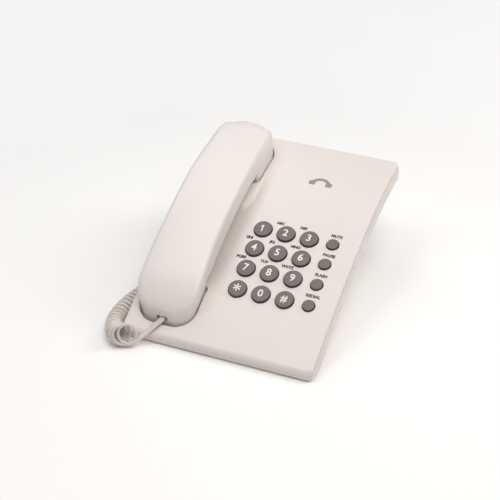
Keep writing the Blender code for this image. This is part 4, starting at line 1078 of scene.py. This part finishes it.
def sound_holes(ear):
    """Cutters for the holes: one and two rings of them in the ear cup, three at the mouth."""
    slope = cover_slope(EAR_HOLES_Y)
    places = []
    for ring, count in ((0.0, 1), (0.0030, 6), (0.0060, 12)):
        for step in range(count):
            angle = 2 * pi * step / count
            across = Vector((ring * cos(angle), 0.0, 0.0))
            places.append((ear + across + tilt_vector(slope, ring * sin(angle)), slope))
    mouth = Vector((HANDSET_X, MOUTH_HOLES_Y, under_line(MOUTH_HOLES_Y)))
    for x in (-0.004, 0.0, 0.004):
        places.append((mouth + Vector((x, 0.0, 0.0)), cover_slope(MOUTH_HOLES_Y)))
    return [move(rod(0.0008, -0.005, 0.005, 12), place, tilt) for place, tilt in places]


# ---- cord ----
COIL_RADIUS = 0.0055
COIL_MOUTH = 0.0022
COIL_TURNS = 27
COIL_STEPS = 24
COIL_LINE = (
    (-0.0630, -0.1056, 0.0108), (-0.0702, -0.1068, 0.0098), (-0.0778, -0.1020, 0.0084),
    (-0.0836, -0.0885, 0.0072), (-0.0842, -0.0710, 0.0072), (-0.0814, -0.0560, 0.0072),
    (-0.0767, -0.0400, 0.0072), (-0.0730, -0.0230, 0.0074), (-0.0715, -0.0080, 0.0074),
)
CORD_JACK_Y = 0.0100
COIL_START_AXIS = Vector((-0.36, 0.88, -0.30)).normalized()
BAND_WIDTH = 0.0033
BAND_THICKNESS = 0.0023
LEAD_EXTRA_WIDTH = 0.0015
FRONT_LEAD = ((-0.0497, -0.0910, 0.0129), (-0.0526, -0.0958, 0.0103), (-0.0567, -0.1018, 0.0070))
BACK_LEAD = ((-0.0750, -0.0010, 0.0080), (-0.0790, 0.0060, 0.0220), (-0.0808, 0.0090, 0.0400))
HANDSET_PLUG = (0.0052, 0.0060, 0.0026)
BASE_PLUG = (0.0060, 0.0110, 0.0046)


def curve_through(knots, steps):
    """Points along a smooth curve through the knots."""
    knots = [Vector(knot) for knot in knots]
    ends = [2 * knots[0] - knots[1]] + knots + [2 * knots[-1] - knots[-2]]
    points = []
    for a, b, c, d in zip(ends, ends[1:], ends[2:], ends[3:]):
        for step in range(steps):
            t = step / steps
            pull = (c - a) * t + (2 * a - 5 * b + 4 * c - d) * t**2 + (3 * b - a - 3 * c + d) * t**3
            points.append(b + pull / 2)
    return points + [knots[-1]]


def even_points(points, count):
    """The same line as evenly spaced points."""
    lengths = [0.0]
    for first, second in zip(points, points[1:]):
        lengths.append(lengths[-1] + (second - first).length)
    even, index = [], 0
    for step in range(count + 1):
        goal = lengths[-1] * step / count
        while index < len(points) - 2 and lengths[index + 1] < goal:
            index += 1
        share = (goal - lengths[index]) / (lengths[index + 1] - lengths[index])
        even.append(points[index].lerp(points[index + 1], share))
    return even


def coil_path():
    """Each point of the coil with the direction away from the coil's centre line."""
    line = even_points(curve_through(COIL_LINE, 10), COIL_TURNS * COIL_STEPS)
    path = []
    for index, centre in enumerate(line):
        ahead = (line[min(index + 3, len(line) - 1)] - line[max(index - 3, 0)]).normalized()
        ahead = COIL_START_AXIS.lerp(ahead, smooth(index, 0, 3.5 * COIL_STEPS)).normalized()
        side = ahead.cross(Vector((0, 0, 1))).normalized()
        over = side.cross(ahead).normalized()
        angle = 2 * pi * index / COIL_STEPS
        out = -over * cos(angle) - side * sin(angle)
        wide = COIL_MOUTH * (1 - smooth(index, 1.0 * COIL_STEPS, 5 * COIL_STEPS))
        path.append((centre + out * (COIL_RADIUS + wide), out))
    return path


def sweep(name, path):
    """A rounded flat section carried along (point, thin direction, width, thickness)."""
    corner = 8
    loops = []
    for index, (point, thin, width, thickness) in enumerate(path):
        before = path[max(index - 1, 0)][0]
        after = path[min(index + 1, len(path) - 1)][0]
        ahead = (after - before).normalized()
        wide = ahead.cross(thin).normalized()
        thin = wide.cross(ahead).normalized()
        radius = thickness / 2
        ring = []
        for step in range(2 * corner):
            angle = pi * (step + 0.5) / corner
            shift = copysign(width / 2 - radius, cos(angle))
            ring.append(point + wide * (shift + radius * cos(angle)) + thin * radius * sin(angle))
        loops.append(ring)
    return loft(name, loops, 60)


def handset_plug_place():
    return handset_jack_place() - tilt_vector(JACK_TILT, 0.0015)


def base_plug_place():
    rim_z = cover_lip_z(CORD_JACK_Y) - PLAY
    return Vector((-HALF_WIDTH + 0.0022, CORD_JACK_Y, rim_z - 0.0046))


def front_lead(coil):
    """The flat lead from the handset's plug, narrowing and turning into the coil's first turn."""
    end = handset_plug_place() - tilt_vector(JACK_TILT, HANDSET_PLUG[1] / 2)
    knots = [end, end - tilt_vector(JACK_TILT, 0.0036), *FRONT_LEAD, coil[0][0]]
    path = []
    for index, point in enumerate(even_points(curve_through(knots, 8), 40)[:-1]):
        share = smooth(index, 22, 39)
        thin = Vector((0, 0, 1)).lerp(-coil[0][1], share)
        path.append((point, thin, BAND_WIDTH + LEAD_EXTRA_WIDTH * (1 - share), BAND_THICKNESS))
    return path


def back_lead(coil):
    """The lead from the coil's last turn up to the plug in the base's side."""
    end = base_plug_place() - Vector((BASE_PLUG[1] / 2, 0, 0))
    knots = [coil[-1][0], *BACK_LEAD, end + Vector((-0.0018, 0.0, -0.0010)), end]
    path = []
    for index, point in enumerate(even_points(curve_through(knots, 8), 60)[1:]):
        thin = (-coil[-1][1]).lerp(Vector((0, 1, 0.01)), smooth(index, 0, 20))
        path.append((point, thin, BAND_WIDTH, BAND_THICKNESS))
    return path


def cord():
    """The cord: a flat lead from the handset, the coil along the base, and the lead back in."""
    coil = coil_path()
    turns = [(point, -out, BAND_WIDTH, BAND_THICKNESS) for point, out in coil]
    piece = sweep("coiled_cord_look", front_lead(coil) + turns + back_lead(coil))
    piece.data.transform(Matrix.Translation(BASE_CENTRE))
    piece.data.materials.append(CORD)
    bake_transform(piece)
    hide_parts("coiled_cord")


def plug(name, body, size, place, slope, turn):
    """A clear modular plug with four gilt contacts and a latch; its nose points along +Y."""
    width, length, height = size
    shell = block(name, size, 0.0003)
    shell.data.materials.append(CLEAR)
    extras = []
    for step in range(4):
        contact = block("contact", (0.0003, length * 0.35, 0.0006), 0.0001, 1)
        x = (step - 1.5) * width * 0.18
        move(contact, (x, length * 0.27, height / 2 - 0.0001))
        contact.data.materials.append(GOLD)
        extras.append(contact)
    latch = block("latch", (width * 0.42, length * 0.72, 0.0005), 0.00015, 2)
    latch.data.materials.append(CLEAR)
    extras.append(move(latch, (0, -length * 0.08, -height / 2 - 0.0002), radians(-4)))
    join(shell, extras)
    move(shell, place, slope, turn)
    place_piece(shell, body, replaces=[name.replace("_look", "")])


def plugs():
    plug("handset_plug_look", "handset", HANDSET_PLUG, handset_plug_place(), JACK_TILT, 0.0)
    plug("base_plug_look", "base", BASE_PLUG, base_plug_place(), 0.0, -pi / 2)


# ---- carried-over CAD nodes ----
NODE_LOOKS = (
    (SHELL, "lower_housing", "hook_plunger"),
    (SILICONE, "key_mat"),
    (BOARD, "keypad_board", "main_board"),
    (BLACK, "dialler_chip", "hook_switch", "line_jack", "cord_jack", "ringer_switch_knob",
     "dial_switch_knob", "handset_jack"),
    (WIRE, "keypad_loom", "receiver_wire", "microphone_wire"),
    (STEEL, "hook_spring", "ballast_plate", "ringer_switch_body", "dial_switch_body",
     "handset_weight"),
    (SLEEVE, "line_capacitor"),
    (CAPSULE, "ringer", "receiver_capsule"),
    (BRASS, "microphone_capsule"),
    (RUBBER, "rubber_foot_1", "rubber_foot_2", "rubber_foot_3", "rubber_foot_4"),
    (ZINC, "base_screw_1", "base_screw_2", "base_screw_3", "base_screw_4", "handset_screw"),
)


def dress_nodes():
    for material, *names in NODE_LOOKS:
        for node in [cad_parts[name] for name in names]:
            for slot in node.material_slots:
                slot.link = "OBJECT"
                slot.material = material
            even = node.modifiers.new("even_faces", "WEIGHTED_NORMAL")
            even.keep_sharp = True


# ---- stage ----
AIM = Vector((0.0, 0.0, 0.04))
ROOM_LIGHT = 0.04
# The floor glows a little, and more with distance, so that it stays white away from the lamps.
FLOOR_GLOW = (0.05, 0.55)
FLOOR_GLOW_REACH = (0.30, 1.40)
CAMERA_AZIMUTH, CAMERA_ELEVATION = radians(22.6), radians(33.1)
CAMERA_PLACE = Vector((0.31469, -0.78394, 0.58731))
LENS_MM, SENSOR_MM = 94.54, 36.0
COOL, NEUTRAL, WARM = (0.95, 0.985, 1.0), (1.0, 1.0, 1.0), (1.0, 0.90, 0.82)
# Name, place, size of the square, power in watts and colour.
LAMPS = (
    ("top", (0, 0, 1.4), 1.0, 4.2, COOL),
    ("back_left", (-0.75, 0.5, 1.1), 0.8, 3.8, NEUTRAL),
    ("back_right", (0.8, 0.5, 0.9), 0.6, 5.2, NEUTRAL),
    ("front_left", (-0.5, -0.45, 1.25), 0.7, 3.9, NEUTRAL),
    ("front_right", (0.5, -0.45, 1.25), 0.7, 8.0, WARM),
)


def floor():
    bm = bmesh.new()
    bmesh.ops.create_grid(bm, x_segments=1, y_segments=1, size=6.0)
    sheet = new_object("floor", bm)
    sheet.location.z = -0.0001
    paper = surface("paper_floor", (0.93, 0.93, 0.93), 0.75, shade=0.01, cloud=3.0,
                    grain=500.0, wear=0.0)
    tree = paper.node_tree
    shader = tree.nodes["Principled BSDF"]
    shader.inputs["Emission Color"].default_value = (1.0, 1.0, 1.0, 1.0)
    away = node_of(tree, "ShaderNodeVectorMath", operation="LENGTH")
    tree.links.new(node_of(tree, "ShaderNodeNewGeometry").outputs["Position"], away.inputs[0])
    glow = remap(tree, away.outputs["Value"], *FLOOR_GLOW_REACH, *FLOOR_GLOW)
    tree.links.new(glow, shader.inputs["Emission Strength"])
    sheet.data.materials.append(paper)


def area_light(name, place, size, power, colour):
    lamp = bpy.data.lights.new(name, "AREA")
    lamp.shape = "SQUARE"
    lamp.size = size
    lamp.energy = power
    lamp.color = colour
    obj = link(name, lamp)
    obj.location = place
    obj.rotation_euler = (AIM - Vector(place)).to_track_quat("-Z", "Y").to_euler()


def lights():
    """Five soft boxes over the table, in a dim room whose walls look white to the camera."""
    world = bpy.data.worlds.new("studio")
    bpy.context.scene.world = world
    world.use_nodes = True
    tree = world.node_tree
    backdrop = tree.nodes["Background"]
    backdrop.inputs["Color"].default_value = (1.0, 1.0, 1.0, 1.0)
    seen = node_of(tree, "ShaderNodeLightPath").outputs["Is Camera Ray"]
    tree.links.new(remap(tree, seen, 0.0, 1.0, ROOM_LIGHT, 1.0), backdrop.inputs["Strength"])
    for lamp in LAMPS:
        area_light(*lamp)


def camera():
    lens = bpy.data.cameras.new("camera")
    lens.sensor_width = SENSOR_MM
    lens.lens = LENS_MM
    lens.clip_start = 0.01
    obj = link("camera", lens)
    level = cos(CAMERA_ELEVATION)
    back = Vector((sin(CAMERA_AZIMUTH) * level, -cos(CAMERA_AZIMUTH) * level,
                   sin(CAMERA_ELEVATION)))
    right = Vector((cos(CAMERA_AZIMUTH), sin(CAMERA_AZIMUTH), 0.0))
    turn = Matrix((right, back.cross(right), back)).transposed()
    obj.matrix_world = Matrix.LocRotScale(BASE_CENTRE + CAMERA_PLACE, turn, None)
    bpy.context.scene.camera = obj
    bpy.context.scene.view_settings.view_transform = "Standard"


cover()
keys()
legends()
mark()
handset_outer()
handset_inner()
cord()
plugs()
dress_nodes()
floor()
lights()
camera()
